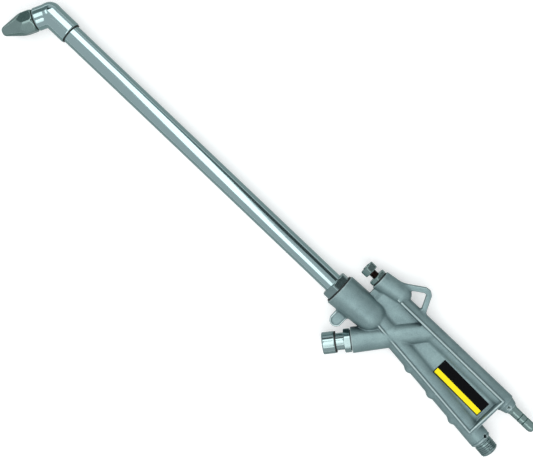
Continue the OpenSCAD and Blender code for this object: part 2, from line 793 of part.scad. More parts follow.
module valve_collar() {
    color([0.85, 0.88, 0.88]) difference() {
        union() {
            on_valve(collar_top) rotate([0, 0, 30]) hex_bar(collar_af, collar_hex_len, front = false);
            on_valve(neck_top) cylinder(d = collar_neck_d, h = collar_top - neck_top + over);
            on_valve(collar_foot - over)
                cylinder(d = collar_thread_d, h = collar_thread_len - collar_foot + over);
        }
        on_valve(neck_top - over)
            cylinder(d = stem_d + 2 * run_clear, h = collar_thread_len - neck_top + 2 * over);
        on_valve(stem_seal_depth)
            cylinder(d = stem_d + 2 * stem_seal_wire + 2 * soft_clear, h = collar_thread_len);
    }
}

module collar_gasket() {
    color([0.1, 0.1, 0.1]) on_valve(-collar_gasket_t)
        ring(collar_af - collar_gasket_t, collar_thread_d + 2 * thread_clear, collar_gasket_t);
}

module stem_seal() {
    color([0.1, 0.1, 0.1]) on_valve(stem_seal_depth + stem_seal_wire / 2) rotate_extrude()
        translate([(stem_d + stem_seal_wire) / 2 + soft_clear, 0]) circle(d = stem_seal_wire, $fn = 24);
}

module valve_seat() {
    color("goldenrod") on_valve(seat_depth - seat_len)
        ring(valve_bore_d - 2 * thread_clear, seat_opening_d, seat_len);
}

module valve_stem() {
    color("silver") on_valve(stem_top) cylinder(d = stem_d, h = stem_end - stem_top);
}

module valve_disc() {
    color("goldenrod") on_valve(disc_face) ring(poppet_d, stem_d, poppet_t);
}

module disc_facing() {
    color([0.1, 0.1, 0.1]) on_valve(seat_depth + face_clear) ring(poppet_d, stem_d, facing_t);
}

module disc_nut() {
    color("silver") on_valve(disc_back) difference() {
        hex_bar(disc_nut_af, disc_nut_len);
        translate([0, 0, -over]) cylinder(d = stem_d, h = disc_nut_len + 2 * over);
    }
}

// Centre line of the spring at turn t, with a closed turn at each end
function spring_rise_at(t, len) =
    let(
        closed = spring_wire_d + thread_clear / 2,
        start = spring_wire_d / 2,
        pitch = (len - 2 * closed - 2 * start) / (spring_turns - 2)
    )
    t < 1 ? start + closed * t
    : t > spring_turns - 1 ? len - start - closed * (spring_turns - t)
    : start + closed + pitch * (t - 1);

module return_spring() {
    steps = 14;
    sides = 6;
    len = valve_bore_depth - disc_back - 2 * face_clear;
    turn_r = (spring_od - spring_wire_d) / 2;
    count = spring_turns * steps;
    points = [
        for (i = [0:count]) let(t = i / steps, a = 360 * t, z = spring_rise_at(t, len))
        for (k = [0:sides - 1]) let(b = 360 * k / sides, r = turn_r + spring_wire_d / 2 * cos(b))
        [r * cos(a), r * sin(a), z + spring_wire_d / 2 * sin(b)]
    ];
    walls = [
        for (i = [0:count - 1]) for (k = [0:sides - 1])
        let(j = (k + 1) % sides, p = i * sides, q = (i + 1) * sides)
        each [[p + k, q + j, q + k], [p + k, p + j, q + j]]
    ];
    first_cap = [for (k = [1:sides - 2]) [0, k + 1, k]];
    last_cap = [for (k = [1:sides - 2]) let(p = count * sides) [p, p + k, p + k + 1]];
    color("silver") on_valve(disc_back + face_clear)
        polyhedron(points, concat(walls, first_cap, last_cap));
}

module push_button() {
    edge = 0.5;
    shell_len = button_len - bumper_len;
    color([0.85, 0.88, 0.88]) on_valve(button_top) difference() {
        rotate_extrude() polygon([
            [0, 0],
            [button_d / 2 - edge, 0],
            [button_d / 2, edge],
            [button_d / 2, shell_len],
            [0, shell_len],
        ]);
        translate([0, 0, button_end_wall])
            cylinder(d = collar_neck_d + 2 * run_clear, h = button_len);
        translate([0, 0, button_end_wall / 2]) cylinder(d = stem_d, h = button_len);
    }
}

module button_bumper() {
    color([0.1, 0.1, 0.1]) on_valve(button_foot - bumper_len)
        ring(button_d - 2 * bumper_step, collar_neck_d + 2 * soft_clear, bumper_len);
}

module needle_stem() {
    taper = (needle_d - needle_point_d) / needle_taper_len;
    tip_past_seat = (needle_seat_d - needle_point_d) / taper - 2 * face_clear;
    tip_x = needle_seat_x + tip_past_seat - needle_travel;
    color([0.35, 0.27, 0.22]) along([-tip_x, -needle_y], 0) {
        cylinder(d1 = needle_point_d, d2 = needle_d, h = needle_taper_len);
        translate([0, 0, needle_taper_len])
            cylinder(d = needle_d, h = tip_x - needle_taper_len - knob_foot);
        translate([0, 0, tip_x - knob_foot])
            cylinder(d = knob_screw_d, h = knob_t - knob_screw_head_t / 2);
    }
}

// Knob: a hexagon whose outer face is sunk for half of the screw's head
module needle_knob() {
    color([0.5, 0.55, 0.53]) along([-knob_foot, -needle_y], 0) difference() {
        hex_bar(knob_af, knob_t);
        translate([0, 0, -over]) cylinder(d = knob_screw_d, h = knob_t + 2 * over);
        translate([0, 0, knob_t - knob_screw_head_t / 2])
            cylinder(d = knob_af / 2 + 2 * thread_clear, h = knob_t);
    }
}

module knob_screw() {
    slot_w = knob_screw_d / 4;
    color("silver") along([-knob_top - knob_screw_head_t / 2, -needle_y], 0) difference() {
        cylinder(d = knob_af / 2, h = knob_screw_head_t);
        translate([-knob_af / 2, -slot_w / 2, knob_screw_head_t / 2])
            cube([knob_af, slot_w, knob_screw_head_t]);
    }
}

module packing_nut() {
    len = packing_foot - packing_top;
    color([0.5, 0.56, 0.52]) along([-packing_foot, -needle_y], 0) difference() {
        union() {
            cylinder(d = packing_thread_d, h = len - packing_hex_len + over);
            translate([0, 0, len - packing_hex_len]) hex_bar(packing_nut_af, packing_hex_len);
        }
        translate([0, 0, -over]) cylinder(d = needle_d + 2 * run_clear, h = len + 2 * over);
    }
}

module packing_gasket() {
    color([0.1, 0.1, 0.1]) along(boss_mouth, 0)
        ring(packing_nut_af, packing_thread_d + 2 * thread_clear, packing_gasket_t);
}

module packing_washer() {
    color("silver") along([-packing_foot - packing_washer_t, -needle_y], 0)
        ring(packing_thread_d, needle_d + 2 * run_clear, packing_washer_t);
}

module needle_packing() {
    color([0.9, 0.9, 0.85]) along([-packing_end, -needle_y], 0)
        ring(packing_thread_d, needle_d + 2 * soft_clear, packing_len);
}

module inlet_nipple() {
    bevel = inlet_neck_len;
    bore_d = fitting_bore_d + 2 * inlet_neck_len;
    color([0.2, 0.24, 0.23]) along(inlet_face, front_angle) rotate_extrude() polygon([
        [bore_d / 2, 0],
        [inlet_thread_d / 2, 0],
        [inlet_thread_d / 2, inlet_thread_len],
        [inlet_spigot_d / 2 + bevel / 2, inlet_thread_len + bevel / 2],
        [inlet_spigot_d / 2 + bevel / 2, inlet_end_len],
        [inlet_spigot_d / 2, inlet_end_len],
        [inlet_spigot_d / 2, inlet_end_len + inlet_spigot_len - bevel],
        [bore_d / 2, inlet_end_len + inlet_spigot_len - bevel],
    ]);
}

module hose_tail() {
    crest_r = barb_crest_d / 2;
    notch_w = (barb_crest_d - barb_root_d) * 2 / 3;
    tip_round = barb_crest_d / 4;
    collar_len = 2.5;
    collar_wall = 1;
    whole_len = barb_len + barb_spigot_len;
    color([0.4, 0.47, 0.45]) along(barb_boss - [barb_len, 0], 0) difference() {
        rotate_extrude() polygon([
            [0, 0],
            [crest_r - tip_round, 0],
            [crest_r - tip_round / 4, barb_tip_len / 3],
            [crest_r, barb_tip_len],
            for (i = [0:1]) each [
                [crest_r, barb_first + i * barb_pitch],
                [barb_root_d / 2, barb_first + i * barb_pitch + notch_w / 4],
                [crest_r, barb_first + i * barb_pitch + notch_w],
            ],
            [crest_r, barb_len - collar_len],
            [barb_spigot_d / 2 + collar_wall, barb_len],
            [barb_spigot_d / 2, barb_len],
            [barb_spigot_d / 2, whole_len],
            [0, whole_len],
        ]);
        translate([0, 0, -over]) cylinder(d = fitting_bore_d, h = whole_len + 2 * over);
    }
}

module lock_screws() {
    color([0.15, 0.16, 0.16]) {
        at_inlet_lock() grub_screw(inlet_spigot_d, front_tube_d);
        at_barb_lock() grub_screw(barb_spigot_d, barb_boss_end_d);
    }
}

// Moves everything so that the centre of the inlet's outer end is the origin
module placed() {
    translate([-inlet_face.x, -inlet_face.y, 0]) children();
}

placed() body_casting();
placed() wand_tube();
placed() wand_ferrule();
placed() elbow();
placed() elbow_seam_ring();
placed() nozzle();
placed() nozzle_gasket();
placed() gland_nut();
placed() gland_gasket();
placed() gland_washer();
placed() gland_packing();
placed() air_jet();
placed() valve_collar();
placed() collar_gasket();
placed() stem_seal();
placed() valve_seat();
placed() valve_stem();
placed() valve_disc();
placed() disc_facing();
placed() disc_nut();
placed() return_spring();
placed() push_button();
placed() button_bumper();
placed() needle_stem();
placed() needle_knob();
placed() knob_screw();
placed() packing_nut();
placed() packing_gasket();
placed() packing_washer();
placed() needle_packing();
placed() inlet_nipple();
placed() hose_tail();
placed() lock_screws();
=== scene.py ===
"""Studio scene of a siphon engine-cleaning air gun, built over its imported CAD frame.

The CAD gives every piece its place. This file gives the cast body its fillets, the turned pieces
their rounded edges and threads, and every piece its finish, and sets up floor, lamps and camera.
Lengths are in millimetres from the barrel's mouth until a mesh is made, and in metres after that.
"""
import logging
import math
from dataclasses import dataclass
from enum import Enum
from typing import Callable, Sequence

import bmesh
import bpy
import numpy as np
from mathutils import Matrix, Vector
from mathutils.bvhtree import BVHTree


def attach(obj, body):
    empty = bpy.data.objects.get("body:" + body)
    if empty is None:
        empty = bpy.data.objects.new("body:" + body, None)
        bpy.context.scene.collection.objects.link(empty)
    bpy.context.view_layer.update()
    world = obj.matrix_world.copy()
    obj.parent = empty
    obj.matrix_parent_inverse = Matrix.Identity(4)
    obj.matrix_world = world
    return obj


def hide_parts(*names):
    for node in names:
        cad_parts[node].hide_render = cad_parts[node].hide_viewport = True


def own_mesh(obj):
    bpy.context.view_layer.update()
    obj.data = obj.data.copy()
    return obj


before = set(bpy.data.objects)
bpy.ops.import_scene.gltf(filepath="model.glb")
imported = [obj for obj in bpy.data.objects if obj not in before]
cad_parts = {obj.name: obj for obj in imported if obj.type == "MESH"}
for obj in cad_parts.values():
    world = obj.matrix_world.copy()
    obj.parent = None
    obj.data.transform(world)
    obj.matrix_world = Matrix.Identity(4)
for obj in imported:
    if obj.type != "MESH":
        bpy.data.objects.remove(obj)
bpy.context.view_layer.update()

LOG = logging.getLogger("air_gun")
MM = 0.001
UP = np.array([0.0, 0.0, 1.0])
# Barrel mouth in the row frame, in millimetres
MOUTH = np.array([153.141, -9.4195, 0.0])
# Places that the casting shares with the pieces in it
BRANCH_MOUTH = (-30.4, 19.9)
NEEDLE_Y = -24.1
REAR_Y = -22.1
FRONT_SLOPE = math.radians(6.33)
BRANCH_ANGLE = math.radians(51.5)
ELBOW_ANGLE = math.radians(63.0)
# Angle in degrees above which an edge of a turned piece stays crisp
CRISP = 42.0

Span = tuple[float, float]
Plan = tuple[float, float]
Spot = tuple[float, float, float]
Face = tuple[int, ...]
Sdf = Callable[[np.ndarray], np.ndarray]
Socket = bpy.types.NodeSocket
Tree = bpy.types.NodeTree
Material = bpy.types.Material


class Slot(Enum):
    """Material slots of the record."""

    CASTING = "casting"
    CHROME_TUBE = "chrome_tube"
    BRIGHT_CHROME = "bright_chrome"
    DULL_STEEL = "dull_steel"
    DARK_STEEL = "dark_steel"
    BROWNED_STEEL = "browned_steel"
    BRASS = "brass"
    BLACK_RUBBER = "black_rubber"
    WHITE_PACKING = "white_packing"


class Body(Enum):
    """Bodies of the record that pieces ride on."""

    GUN = "gun"
    WAND = "wand"
    BUTTON = "button"
    NEEDLE = "needle"
    KNOB = "knob"


Finishes = dict[Slot, Material]


# Distances to simple forms, all in millimetres and all negative inside


def heading(angle: float) -> np.ndarray:
    """Unit vector of a plan direction."""
    return np.array([math.cos(angle), math.sin(angle), 0.0])


def plan(point: Sequence[float]) -> np.ndarray:
    """Plan point as a point on the middle plane."""
    return np.array([point[0], point[1], 0.0])


def smooth_min(a: np.ndarray, b: np.ndarray, k: float) -> np.ndarray:
    """Union of two distances with a fillet of about k."""
    h = np.maximum(k - np.abs(a - b), 0.0) / k
    return np.minimum(a, b) - h * h * (k * 0.25)


def smooth_max(a: np.ndarray, b: np.ndarray, k: float) -> np.ndarray:
    """Intersection of two distances with an edge rounded by about k."""
    return -smooth_min(-a, -b, k)


def round_box(dx: np.ndarray, dy: np.ndarray, edge: float) -> np.ndarray:
    """Distance to where two distances are both negative, with a rounded edge.

    Args:
        dx: Distance past the first pair of faces.
        dy: Distance past the second pair of faces.
        edge: Radius of the edge.

    Returns:
        The distance, negative inside.
    """
    dx, dy = dx + edge, dy + edge
    outside = np.hypot(np.maximum(dx, 0.0), np.maximum(dy, 0.0))
    return np.minimum(np.maximum(dx, dy), 0.0) + outside - edge


def along_axis(p: np.ndarray, a: np.ndarray, b: np.ndarray) -> tuple[np.ndarray, np.ndarray, float]:
    """Splits points into their run along an axis and their distance from it.

    Args:
        p: Points, one a row.
        a: First end of the axis.
        b: Second end of the axis.

    Returns:
        Run from a, distance from the axis, and the axis's length.
    """
    length = float(np.linalg.norm(b - a))
    way = ((b - a) / length).astype(np.float32)
    rel = p - a.astype(np.float32)
    run = rel @ way
    away = np.linalg.norm(rel - run[:, None] * way, axis=1)
    return run, away, length


def rod(
    p: np.ndarray, a: np.ndarray, b: np.ndarray, ra: float, rb: float = 0.0, edge: float = 0.0,
) -> np.ndarray:
    """Distance to a round bar with flat ends.

    Args:
        p: Points.
        a: First end.
        b: Second end.
        ra: Radius at the first end.
        rb: Radius at the second end, or 0 where it is the same.
        edge: Rounding of the end edges.

    Returns:
        The distance at each point.
    """
    run, away, length = along_axis(p, a, b)
    r = ra + ((rb or ra) - ra) * np.clip(run / length, 0.0, 1.0)
    return round_box(away - r, np.abs(run - length / 2) - length / 2, edge)


def capsule(p: np.ndarray, a: np.ndarray, b: np.ndarray, ra: float, rb: float = 0.0) -> np.ndarray:
    """Distance to a round bar with domed ends.

    Args:
        p: Points.
        a: Middle of the first dome.
        b: Middle of the second dome.
        ra: Radius at the first end.
        rb: Radius at the second end, or 0 where it is the same.

    Returns:
        The distance at each point.
    """
    run, away, length = along_axis(p, a, b)
    t = np.clip(run / length, 0.0, 1.0)
    past = run - t * length
    return np.hypot(past, away) - (ra + ((rb or ra) - ra) * t)


def path_distance(p: np.ndarray, path: Sequence[Plan]) -> np.ndarray:
    """Distance in the plan to an open path.

    Args:
        p: Points.
        path: Its corners in order.

    Returns:
        The distance at each point.
    """
    best = np.full(len(p), 1e9, np.float32)
    for (ax, ay), (bx, by) in zip(path[:-1], path[1:]):
        ex, ey = bx - ax, by - ay
        wx, wy = p[:, 0] - ax, p[:, 1] - ay
        t = np.clip((wx * ex + wy * ey) / (ex * ex + ey * ey), 0.0, 1.0)
        best = np.minimum(best, (wx - t * ex) ** 2 + (wy - t * ey) ** 2)
    return np.sqrt(best)


def polygon_distance(p: np.ndarray, outline: Sequence[Plan]) -> np.ndarray:
    """Distance in the plan to a closed outline.

    Args:
        p: Points.
        outline: Its corners in order.

    Returns:
        The distance at each point, negative inside.
    """
    x, y = p[:, 0], p[:, 1]
    path = [*outline, outline[0]]
    inside = np.zeros(len(p), bool)
    for (ax, ay), (bx, by) in zip(path[:-1], path[1:]):
        rise = (by - ay) or 1e-9
        inside ^= ((ay > y) != (by > y)) & (x < (bx - ax) * (y - ay) / rise + ax)
    away = path_distance(p, path)
    return np.where(inside, -away, away)


def slab(p: np.ndarray, flat: np.ndarray, half: float | np.ndarray, edge: float) -> np.ndarray:
    """Distance to a plan shape with thickness, from its plan distance."""
    return round_box(flat, np.abs(p[:, 2]) - half, edge)


def sample(shape: Sdf, axes: Sequence[np.ndarray], rows: int = 24) -> np.ndarray:
    """Values of a distance field on a grid, a few rows at a time.

    Args:
        shape: Distance field.
        axes: Grid lines along the three axes.
        rows: Rows of the grid that are sampled at once.

    Returns:
        One value for each point of the grid.
    """
    nx, ny, nz = (len(a) for a in axes)
    d = np.empty((nx, ny, nz), np.float32)
    yy, zz = np.meshgrid(axes[1], axes[2], indexing="ij")
    for start in range(0, nx, rows):
        xs = axes[0][start:start + rows]
        grid = np.empty((len(xs), ny, nz, 3), np.float32)
        grid[..., 0] = xs[:, None, None]
        grid[..., 1] = yy
        grid[..., 2] = zz
        d[start:start + rows] = shape(grid.reshape(-1, 3)).reshape(len(xs), ny, nz)
    return d


def within(cell: np.ndarray, cells: tuple[int, ...]) -> np.ndarray:
    """Tells which cells lie in a grid."""
    return ((cell >= 0) & (cell < cells)).all(axis=1)


def surface_of(shape: Sdf, low: Spot, high: Spot, step: float) -> tuple[np.ndarray, np.ndarray]:
    """Meshes the zero surface of a distance field with one point a cell.

    Args:
        shape: Distance field.
        low: Lowest corner of the grid.
        high: Highest corner of the grid.
        step: Cell size.

    Returns:
        Points and quads.
    """
    axes = [np.arange(a, b + step, step, dtype=np.float32) for a, b in zip(low, high)]
    d = sample(shape, axes)
    inside = d < 0
    cells = tuple(n - 1 for n in d.shape)
    total = np.zeros(cells + (3,), np.float32)
    count = np.zeros(cells, np.int16)
    crossings = []
    for axis in range(3):
        a = tuple(slice(0, -1) if i == axis else slice(None) for i in range(3))
        b = tuple(slice(1, None) if i == axis else slice(None) for i in range(3))
        cross = inside[a] != inside[b]
        at = np.argwhere(cross)
        where = at.astype(np.float32)
        where[:, axis] += d[a][cross] / (d[a][cross] - d[b][cross])
        crossings.append((at, inside[a][cross]))
        for shift in ((0, 0), (0, 1), (1, 0), (1, 1)):
            cell = at - np.insert(shift, axis, 0)
            good = within(cell, cells)
            np.add.at(total, tuple(cell[good].T), where[good])
            np.add.at(count, tuple(cell[good].T), 1)
    used = count > 0
    index = np.full(cells, -1, np.int64)
    index[used] = np.arange(int(used.sum()))
    points = total[used] / count[used][:, None] * step + np.array(low, np.float32)
    quads = []
    for axis, (at, first_in) in enumerate(crossings):
        around = [at - np.roll((0, *turn), axis) for turn in ((1, 1), (0, 1), (0, 0), (1, 0))]
        good = np.all([within(c, cells) for c in around], axis=0)
        ids = np.stack([index[tuple(c[good].T)] for c in around], axis=1)
        flip = ~first_in[good]
        ids[flip] = ids[flip][:, ::-1]
        quads.append(ids)
    for _ in range(2):
        points = settle(shape, points, step)
    return points, np.concatenate(quads)


def settle(shape: Sdf, points: np.ndarray, step: float) -> np.ndarray:
    """Moves points onto the zero surface along the field's slope.

    Args:
        shape: Distance field.
        points: Points near its zero surface.
        step: Cell size, of which a point moves a part at most.

    Returns:
        The moved points.
    """
    eps = step * 0.2
    slope = np.empty_like(points)
    for axis in range(3):
        shift = np.zeros(3, np.float32)
        shift[axis] = eps
        slope[:, axis] = (shape(points + shift) - shape(points - shift)) / (2 * eps)
    size = np.maximum((slope ** 2).sum(axis=1), 0.1)
    move = -(shape(points) / size)[:, None] * slope
    reach = np.linalg.norm(move, axis=1)
    limit = np.minimum(1.0, step * 0.4 / np.maximum(reach, 1e-6))
    return points + move * limit[:, None]


# Finishes


def to_linear(code: str) -> tuple[float, float, float, float]:
    """Linear colour of an sRGB hex value.

    Args:
        code: Six hex digits.

    Returns:
        Red, green, blue and 1.
    """
    parts = [int(code[i:i + 2], 16) / 255 for i in (0, 2, 4)]
    red, green, blue = (c / 12.92 if c <= 0.04045 else ((c + 0.055) / 1.055) ** 2.4 for c in parts)
    return red, green, blue, 1.0


def add_node(
    tree: Tree,
    kind: str,
    settings: dict[str, object] | None = None,
    inputs: dict[str | int, object] | None = None,
) -> bpy.types.Node:
    """Adds a node with its settings, and sets or links its inputs.

    Args:
        tree: Node tree.
        kind: Node type.
        settings: Properties to set.
        inputs: Values or output sockets by input name or number.

    Returns:
        The node.
    """
    node = tree.nodes.new(kind)
    for key, value in (settings or {}).items():
        setattr(node, key, value)
    for key, value in (inputs or {}).items():
        if isinstance(value, Socket):
            tree.links.new(value, node.inputs[key])
        else:
            node.inputs[key].default_value = value
    return node


def new_material(name: str) -> tuple[Material, Tree]:
    """Makes a material with an empty node tree.

    Args:
        name: Name of the material.

    Returns:
        The material and its tree.
    """
    material = bpy.data.materials.new(name)
    material.use_nodes = True
    material.node_tree.nodes.clear()
    return material, material.node_tree


def per_mm(size: float) -> float:
    """Noise scale that gives features of a size in millimetres."""
    return 1000.0 / size


def seen_rays(tree: Tree) -> Socket:
    """Tells rays that show a surface from diffuse ones, which only carry its light.

    Args:
        tree: Node tree.

    Returns:
        1 for rays of the camera, of a mirror and through glass, and 0 for the others.
    """
    path = add_node(tree, "ShaderNodeLightPath")
    direct = add_node(tree, "ShaderNodeMath", {"operation": "MAXIMUM"}, {
        0: path.outputs["Is Camera Ray"], 1: path.outputs["Is Transmission Ray"]})
    seen = add_node(tree, "ShaderNodeMath", {"operation": "MAXIMUM"}, {
        0: direct.outputs[0], 1: path.outputs["Is Glossy Ray"]})
    return seen.outputs[0]


@dataclass(frozen=True)
class CastMetal:
    """Aluminium alloy, die-cast and vibratory-polished.

    The cast skin is satin: it blurs what it mirrors, with a faint orange peel, soft cloudy
    patches from the tumbling, paler metal on outer edges that is partly rubbed wear and partly a
    painted highlight, a fine seam where the mould's halves met, and painted shade darkening its
    hollows and inner corners.
    """

    name: str = "Tumbled die-cast alloy"
    tone: str = "89A1A2"
    cloud: str = "738A8C"
    # Paler colour of outer edges: partly rubbed wear, partly a painted highlight
    rubbed_and_highlight: str = "C4D6D6"
    # Painted shade: colour mixed into inner corners and hollows
    painted_shade: str = "33454A"
    metallic: float = 0.55
    roughness: Span = (0.36, 0.48)
    speck_mm: float = 0.7
    cloud_mm: float = 9.0
    peel_mm: float = 1.6
    peel_height_mm: float = 0.012
    seam_mm: float = 0.35
    seam_height_mm: float = 0.1
    hollow_mm: float = 6.0
    # Pointiness, 0.5 on a flat face, where an inner corner ends and where an outer edge starts
    corner_bend: Span = (0.42, 0.492)
    edge_bend: Span = (0.515, 0.565)

    def build(self) -> Material:
        """Makes the material.

        Returns:
            The material.
        """
        material, tree = new_material(self.name)
        place = add_node(tree, "ShaderNodeTexCoord").outputs["Object"]
        clouds = add_node(tree, "ShaderNodeTexNoise", inputs={
            "Vector": place, "Scale": per_mm(self.cloud_mm), "Detail": 4.0, "Roughness": 0.6})
        specks = add_node(tree, "ShaderNodeTexNoise", inputs={
            "Vector": place, "Scale": per_mm(self.speck_mm), "Detail": 2.0, "Roughness": 0.7})
        both = add_node(tree, "ShaderNodeMath", {"operation": "ADD"}, {
            0: clouds.outputs["Fac"], 1: specks.outputs["Fac"]})
        share = add_node(tree, "ShaderNodeMapRange", inputs={
            "Value": both.outputs[0], "From Min": 0.7, "From Max": 1.3})
        clean = add_node(tree, "ShaderNodeMix", {"data_type": "RGBA"}, {
            0: share.outputs[0], 6: to_linear(self.cloud), 7: to_linear(self.tone)})
        bend = add_node(tree, "ShaderNodeNewGeometry").outputs["Pointiness"]
        # Painted shade laid over the clean colour in inner corners and hollows
        shaded = add_node(tree, "ShaderNodeMix", {"data_type": "RGBA"}, {
            0: self.painted_shade_share(tree, bend), 6: clean.outputs[2], 7: to_linear(self.painted_shade)})
        # Outer edges turn paler by pointiness: partly rubbed wear, partly a painted highlight
        edge = add_node(tree, "ShaderNodeMapRange", inputs={
            "Value": bend, "From Min": self.edge_bend[0], "From Max": self.edge_bend[1],
            "To Min": 0.0, "To Max": 0.8})
        colour = add_node(tree, "ShaderNodeMix", {"data_type": "RGBA"}, {
            0: edge.outputs[0], 6: shaded.outputs[2], 7: to_linear(self.rubbed_and_highlight)})
        peel = add_node(tree, "ShaderNodeTexNoise", inputs={
            "Vector": place, "Scale": per_mm(self.peel_mm), "Detail": 3.0, "Roughness": 0.55})
        rough = add_node(tree, "ShaderNodeMapRange", inputs={
            "Value": peel.outputs["Fac"], "From Min": 0.3, "From Max": 0.7,
            "To Min": self.roughness[0], "To Max": self.roughness[1]})
        skin = add_node(tree, "ShaderNodeBump", inputs={
            "Height": peel.outputs["Fac"], "Strength": 0.35, "Distance": self.peel_height_mm * MM})
        relief = add_node(tree, "ShaderNodeBump", inputs={
            "Height": self.seam(tree, place), "Strength": 0.5,
            "Distance": self.seam_height_mm * MM, "Normal": skin.outputs[0]})
        shader = add_node(tree, "ShaderNodeBsdfPrincipled", inputs={
            "Base Color": colour.outputs[2], "Roughness": rough.outputs[0],
            "Normal": relief.outputs[0], "Metallic": self.metallic})
        add_node(tree, "ShaderNodeOutputMaterial", inputs={"Surface": shader.outputs[0]})
        return material

    def painted_shade_share(self, tree: Tree, bend: Socket) -> Socket:
        """Painted shade in inner corners and in hollows.

        Args:
            tree: Node tree.
            bend: Pointiness of the mesh.

        Returns:
            Share of painted shade in the colour.
        """
        # Painted shade: inner corners found by pointiness and hollows found by occlusion take the shade
        # colour
        corner = add_node(tree, "ShaderNodeMapRange", inputs={
            "Value": bend, "From Min": self.corner_bend[0], "From Max": self.corner_bend[1],
            "To Min": 0.95, "To Max": 0.0})
        openness = add_node(tree, "ShaderNodeAmbientOcclusion", {"samples": 8}, {
            "Distance": self.hollow_mm * MM})
        hollow = add_node(tree, "ShaderNodeMapRange", inputs={
            "Value": openness.outputs["AO"], "From Min": 0.40, "From Max": 1.0,
            "To Min": 0.9, "To Max": 0.0})
        worst = add_node(tree, "ShaderNodeMath", {"operation": "MAXIMUM"}, {
            0: corner.outputs[0], 1: hollow.outputs[0]})
        return worst.outputs[0]

    def seam(self, tree: Tree, place: Socket) -> Socket:
        """Fine raised line where the two halves of the mould met, on the middle plane.

        Args:
            tree: Node tree.
            place: Coordinates in metres.

        Returns:
            Height of the line, from 0 to 1.
        """
        height = add_node(tree, "ShaderNodeSeparateXYZ", inputs={0: place}).outputs["Z"]
        off = add_node(tree, "ShaderNodeMath", {"operation": "ABSOLUTE"}, {0: height})
        line = add_node(tree, "ShaderNodeMapRange", {"interpolation_type": "SMOOTHSTEP"}, {
            "Value": off.outputs[0], "From Min": 0.0, "From Max": self.seam_mm * MM,
            "To Min": 1.0, "To Max": 0.0})
        return line.outputs[0]


@dataclass(frozen=True)
class PlainMetal:
    """Turned, plated or oxidised metal, with painted shade darkening its inner corners where it has a share
    of it.

    Tool marks run round a turned piece, and drawing marks run along a tube, so the grain is
    stretched by the grain sizes along the three axes.
    """

    name: str
    tone: str
    shade: str
    roughness: Span
    grain_mm: Spot = (0.5, 0.5, 0.5)
    grain_height_mm: float = 0.004
    stain_mm: float = 5.0
    # Near-black painted shade colour for inner corners
    corner_shade: str = "141A1A"
    corner_shade_share: float = 0.0
    # Pointiness where an inner corner ends
    corner_bend: Span = (0.43, 0.495)

    def build(self) -> Material:
        """Makes the material.

        Returns:
            The material.
        """
        material, tree = new_material(self.name)
        place = add_node(tree, "ShaderNodeTexCoord").outputs["Object"]
        stretch = add_node(tree, "ShaderNodeMapping", inputs={
            "Vector": place, "Scale": tuple(per_mm(mm) for mm in self.grain_mm)})
        grain = add_node(tree, "ShaderNodeTexNoise", inputs={
            "Vector": stretch.outputs[0], "Scale": 1.0, "Detail": 3.0, "Roughness": 0.6})
        stain = add_node(tree, "ShaderNodeTexNoise", inputs={
            "Vector": place, "Scale": per_mm(self.stain_mm), "Detail": 4.0, "Roughness": 0.6})
        colour = add_node(tree, "ShaderNodeMix", {"data_type": "RGBA"}, {
            0: stain.outputs["Fac"], 6: to_linear(self.shade), 7: to_linear(self.tone)})
        # Painted shade: inner corners found by pointiness are darkened
        if self.corner_shade_share > 0.0:
            corner = add_node(tree, "ShaderNodeMapRange", inputs={
                "Value": add_node(tree, "ShaderNodeNewGeometry").outputs["Pointiness"],
                "From Min": self.corner_bend[0], "From Max": self.corner_bend[1],
                "To Min": self.corner_shade_share, "To Max": 0.0})
            colour = add_node(tree, "ShaderNodeMix", {"data_type": "RGBA"}, {
                0: corner.outputs[0], 6: colour.outputs[2], 7: to_linear(self.corner_shade)})
        rough = add_node(tree, "ShaderNodeMapRange", inputs={
            "Value": grain.outputs["Fac"], "From Min": 0.3, "From Max": 0.7,
            "To Min": self.roughness[0], "To Max": self.roughness[1]})
        marks = add_node(tree, "ShaderNodeBump", inputs={
            "Height": grain.outputs["Fac"], "Strength": 0.3, "Distance": self.grain_height_mm * MM})
        shader = add_node(tree, "ShaderNodeBsdfPrincipled", inputs={
            "Base Color": colour.outputs[2], "Roughness": rough.outputs[0],
            "Normal": marks.outputs[0], "Metallic": 1.0})
        add_node(tree, "ShaderNodeOutputMaterial", inputs={"Surface": shader.outputs[0]})
        return material


@dataclass(frozen=True)
class SoftStuff:
    """Moulded rubber, pressed fibre or packing: no mirror, a fine tooth and faint dust."""

    name: str
    tone: str
    dust: str
    roughness: float
    ior: float = 1.52
    tooth_mm: float = 0.5
    tooth_height_mm: float = 0.02
    dust_mm: float = 4.0

    def build(self) -> Material:
        """Makes the material.

        Returns:
            The material.
        """
        material, tree = new_material(self.name)
        place = add_node(tree, "ShaderNodeTexCoord").outputs["Object"]
        tooth = add_node(tree, "ShaderNodeTexNoise", inputs={
            "Vector": place, "Scale": per_mm(self.tooth_mm), "Detail": 3.0, "Roughness": 0.6})
        patches = add_node(tree, "ShaderNodeTexNoise", inputs={
            "Vector": place, "Scale": per_mm(self.dust_mm), "Detail": 2.0})
        colour = add_node(tree, "ShaderNodeMix", {"data_type": "RGBA"}, {
            0: patches.outputs["Fac"], 6: to_linear(self.tone), 7: to_linear(self.dust)})
        relief = add_node(tree, "ShaderNodeBump", inputs={
            "Height": tooth.outputs["Fac"], "Strength": 0.4, "Distance": self.tooth_height_mm * MM})
        shader = add_node(tree, "ShaderNodeBsdfPrincipled", inputs={
            "Base Color": colour.outputs[2], "Normal": relief.outputs[0],
            "Roughness": self.roughness, "IOR": self.ior})
        add_node(tree, "ShaderNodeOutputMaterial", inputs={"Surface": shader.outputs[0]})
        return material


